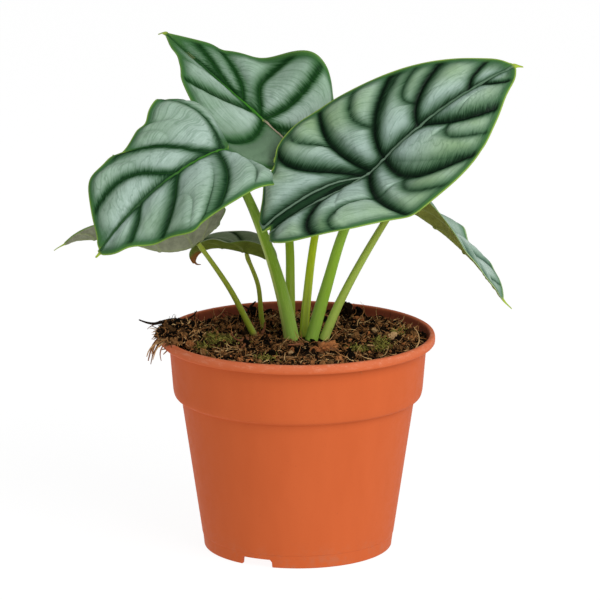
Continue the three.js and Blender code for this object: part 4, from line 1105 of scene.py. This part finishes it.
def blade_finish(letter, leaf):
    """Silver fades in feathery streaks through green to dark green by the veins; fine veinlets, branch veins,
    a green margin with a yellow-green edge, and a dull pale underside with raised veins. Where the dark band
    widens on each vein's tip side it is partly painted shade, and the thin dark line in each vein's groove is
    partly painted shade. All the limits are distances in mm on the blade, times its size."""
    size, front, dark = leaf.size, leaf.front, leaf.dark * leaf.size
    tint = SimpleNamespace(**dict(zip(TINTS, BLADE_TINTS[letter])))
    skin = Finish(f"blade_skin_{letter}", 0.34, 0.07)
    paint, step, scaled, mottle = skin.paint, skin.step, skin.scaled, skin.mottle
    times, math = skin.times, skin.math
    vein, shade, rib, margin, outer, forward, strip, under = (
        skin.read(name) for name in ("vein", "shade", "rib", "margin", "outer", "forward", "strip", "under"))
    flat = skin.node("CombineXYZ", 0, {0: skin.read("out"), 1: forward})
    streaks = mottle(1.0, 2.2, 0.3, 0.7, on=flat, stretch=(2.0 / size, 0.16 / size, 1))
    grain = mottle(900, 2.4, 0.3, 0.7)
    shift = times(math("SUBTRACT", streaks, 0.5), 1.5 * size)
    tipward = scaled(step(forward, 0.5 * front, front), 1.0, 2.4)
    nearest = math("ADD", times(shade, tipward), shift)
    by_vein = step(nearest, 1.0 * dark, 6.0 * dark)
    by_margin = step(math("ADD", margin, times(shift, 0.6)), 1.0 * size, 5.0 * size)
    silver = times(by_vein, by_margin, math("SUBTRACT", 1.0, strip))
    sunny = times(step(math("ABSOLUTE", outer), 0.25, 0.85), scaled(mottle(45, 2.5), 0.4, 1.0))
    wander = mottle(1.0, 1.9, 0, 1, on=flat, stretch=(0.22 / size, 0.06 / size, 1))
    veinlets = step(math("ABSOLUTE", math("SUBTRACT", wander, 0.5)), 0.024, 0.006)
    bright = paint(tint.silver, (sunny, tint.warm), (grain, tint.green, 0.16),
                   (veinlets, tint.green, 0.24), (streaks, tint.green, 0.36))
    cord = paint(tint.rib, (step(forward, 0.15 * front, 0.6 * front), tint.far_rib))
    if letter == "c":
        # painted shade: c's rear part, which tips away from the light, is dulled and darkened
        bright = paint(bright, (times(step(forward, 1.0, -5.0), step(outer, -0.1, 0.05)), LOBE_PAINTED_SHADE))
        cord = paint(cord, (step(forward, 1.0, -4.0), PINK_RIB))
    # partly painted shade: a thin dark line along each vein's groove, partly the vein's own colour
    crease = times(step(vein, 0.55 * size, 0.2 * size), step(margin, 1.0, 4.0))
    colour = paint(
        tint.dark, (step(nearest, 0.2 * dark, 3.0 * dark), tint.green), (crease, tint.crease, 0.8),
        (strip, tint.dark, 0.6), (silver, bright), (step(margin, 2.0 * size, 0.9 * size), MARGIN_GREEN, 0.75),
        (step(margin, 0.75, 0.25), tint.edge), (step(rib, 0.7 * size, 0.3 * size), cord))
    raised = math("MAXIMUM", step(vein, 0.9 * size, 0.3 * size), step(rib, 1.6 * size, 0.8 * size))
    dull = paint(
        tint.under, (mottle(260, 3.0), tuple(0.7 * part for part in tint.under)),
        (raised, VEIN_BELOW, 0.3), (step(margin, 0.9, 0.3), EDGE_BELOW))
    tip, end = step(forward, front - 1.5, front + 1.0), TAIL_GREEN
    if letter == "f":
        tip, end = step(forward, 0.66 * front, 0.86 * front), DRY_TIP
    skin.colour(paint(colour, (tip, end)), (under, paint(dull, (tip, end))))
    skin.roughness(scaled(under, 0.36, 0.62))
    skin.bump(math("ADD", times(streaks, 0.7), math("ADD", grain, veinlets)), 0.09, 0.8)
    return skin.material


for letter, leaf in LEAVES.items():
    rows, columns = (280, 170) if leaf.half > 20 else (150, 100)
    piece = blade(letter, leaf, rows, columns)
    piece.data.materials.append(blade_finish(letter, leaf))
    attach(piece, "root")
    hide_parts(f"blade_{letter}")

# ------------------------------------------------ Studio
# A bright white floor under a white surround, one soft light high on the right in front, and the
# camera a little above the plant.

FRAME_WIDTH = 600
MM_PER_PIXEL = 0.4364
SENSOR_WIDTH = 36
CAMERA_DISTANCE = 2200.0
CAMERA_RISE = np.radians(13.5)
CAMERA_TARGET = array([0.9, 0, 110.0])
SURROUND_LIGHT = 0.46
FLOOR_EDGE = 4000.0
KEY_PLACE = array([840.0, -1000, 1025])
KEY_AIM = array([0.0, 0, 110])
KEY_SIZE = 1100
KEY_WATTS = 18.8


def studio_floor():
    """A wide square just below the pot."""
    corners = FLOOR_EDGE * array([(-1, -1, 0), (1, -1, 0), (1, 1, 0), (-1, 1, 0)]) - (0, 0, 0.02)
    floor = add_mesh("floor", corners, [[0, 1, 2, 3]], smooth=False)
    finish = Finish("white_floor", 0.9, 0.0, Emission_Color=(1, 1, 1, 1), Emission_Strength=0.93)
    finish.colour((0.12, 0.12, 0.12))
    floor.data.materials.append(finish.material)


def key_light():
    """A square soft light that faces its aim."""
    light = bpy.data.lights.new("key", "AREA")
    light.size = KEY_SIZE * MM
    light.energy = KEY_WATTS
    lamp = bpy.data.objects.new("key", light)
    way = KEY_AIM - KEY_PLACE
    lamp.location = KEY_PLACE * MM
    lamp.rotation_euler = (np.arctan2(np.hypot(*way[:2]), -way[2]), 0, np.arctan2(way[1], way[0]) - pi / 2)
    bpy.context.scene.collection.objects.link(lamp)


def studio_camera():
    """A long lens: its focal length gives MM_PER_PIXEL at the target's distance."""
    camera = bpy.data.cameras.new("camera")
    camera.sensor_width = SENSOR_WIDTH
    camera.lens = SENSOR_WIDTH * CAMERA_DISTANCE / (MM_PER_PIXEL * FRAME_WIDTH)
    camera.clip_end = 100
    holder = bpy.data.objects.new("camera", camera)
    forward = array([0, cos(CAMERA_RISE), -sin(CAMERA_RISE)])
    holder.location = (CAMERA_TARGET - CAMERA_DISTANCE * forward) * MM
    holder.rotation_euler = (pi / 2 - CAMERA_RISE, 0, 0)
    bpy.context.scene.collection.objects.link(holder)
    bpy.context.scene.camera = holder


def white_surround():
    """A world that is pure white to the camera and lights the plant with SURROUND_LIGHT."""
    world = bpy.data.worlds.new("surround")
    world.use_nodes = True
    nodes, links = world.node_tree.nodes, world.node_tree.links
    strength = nodes.new("ShaderNodeMapRange")
    strength.inputs["To Min"].default_value = SURROUND_LIGHT
    links.new(nodes.new("ShaderNodeLightPath").outputs["Is Camera Ray"], strength.inputs["Value"])
    links.new(strength.outputs["Result"], nodes["Background"].inputs["Strength"])
    nodes["Background"].inputs["Color"].default_value = (1, 1, 1, 1)
    bpy.context.scene.world = world


studio_floor()
key_light()
white_surround()
bpy.context.scene.view_settings.view_transform = "Standard"
studio_camera()
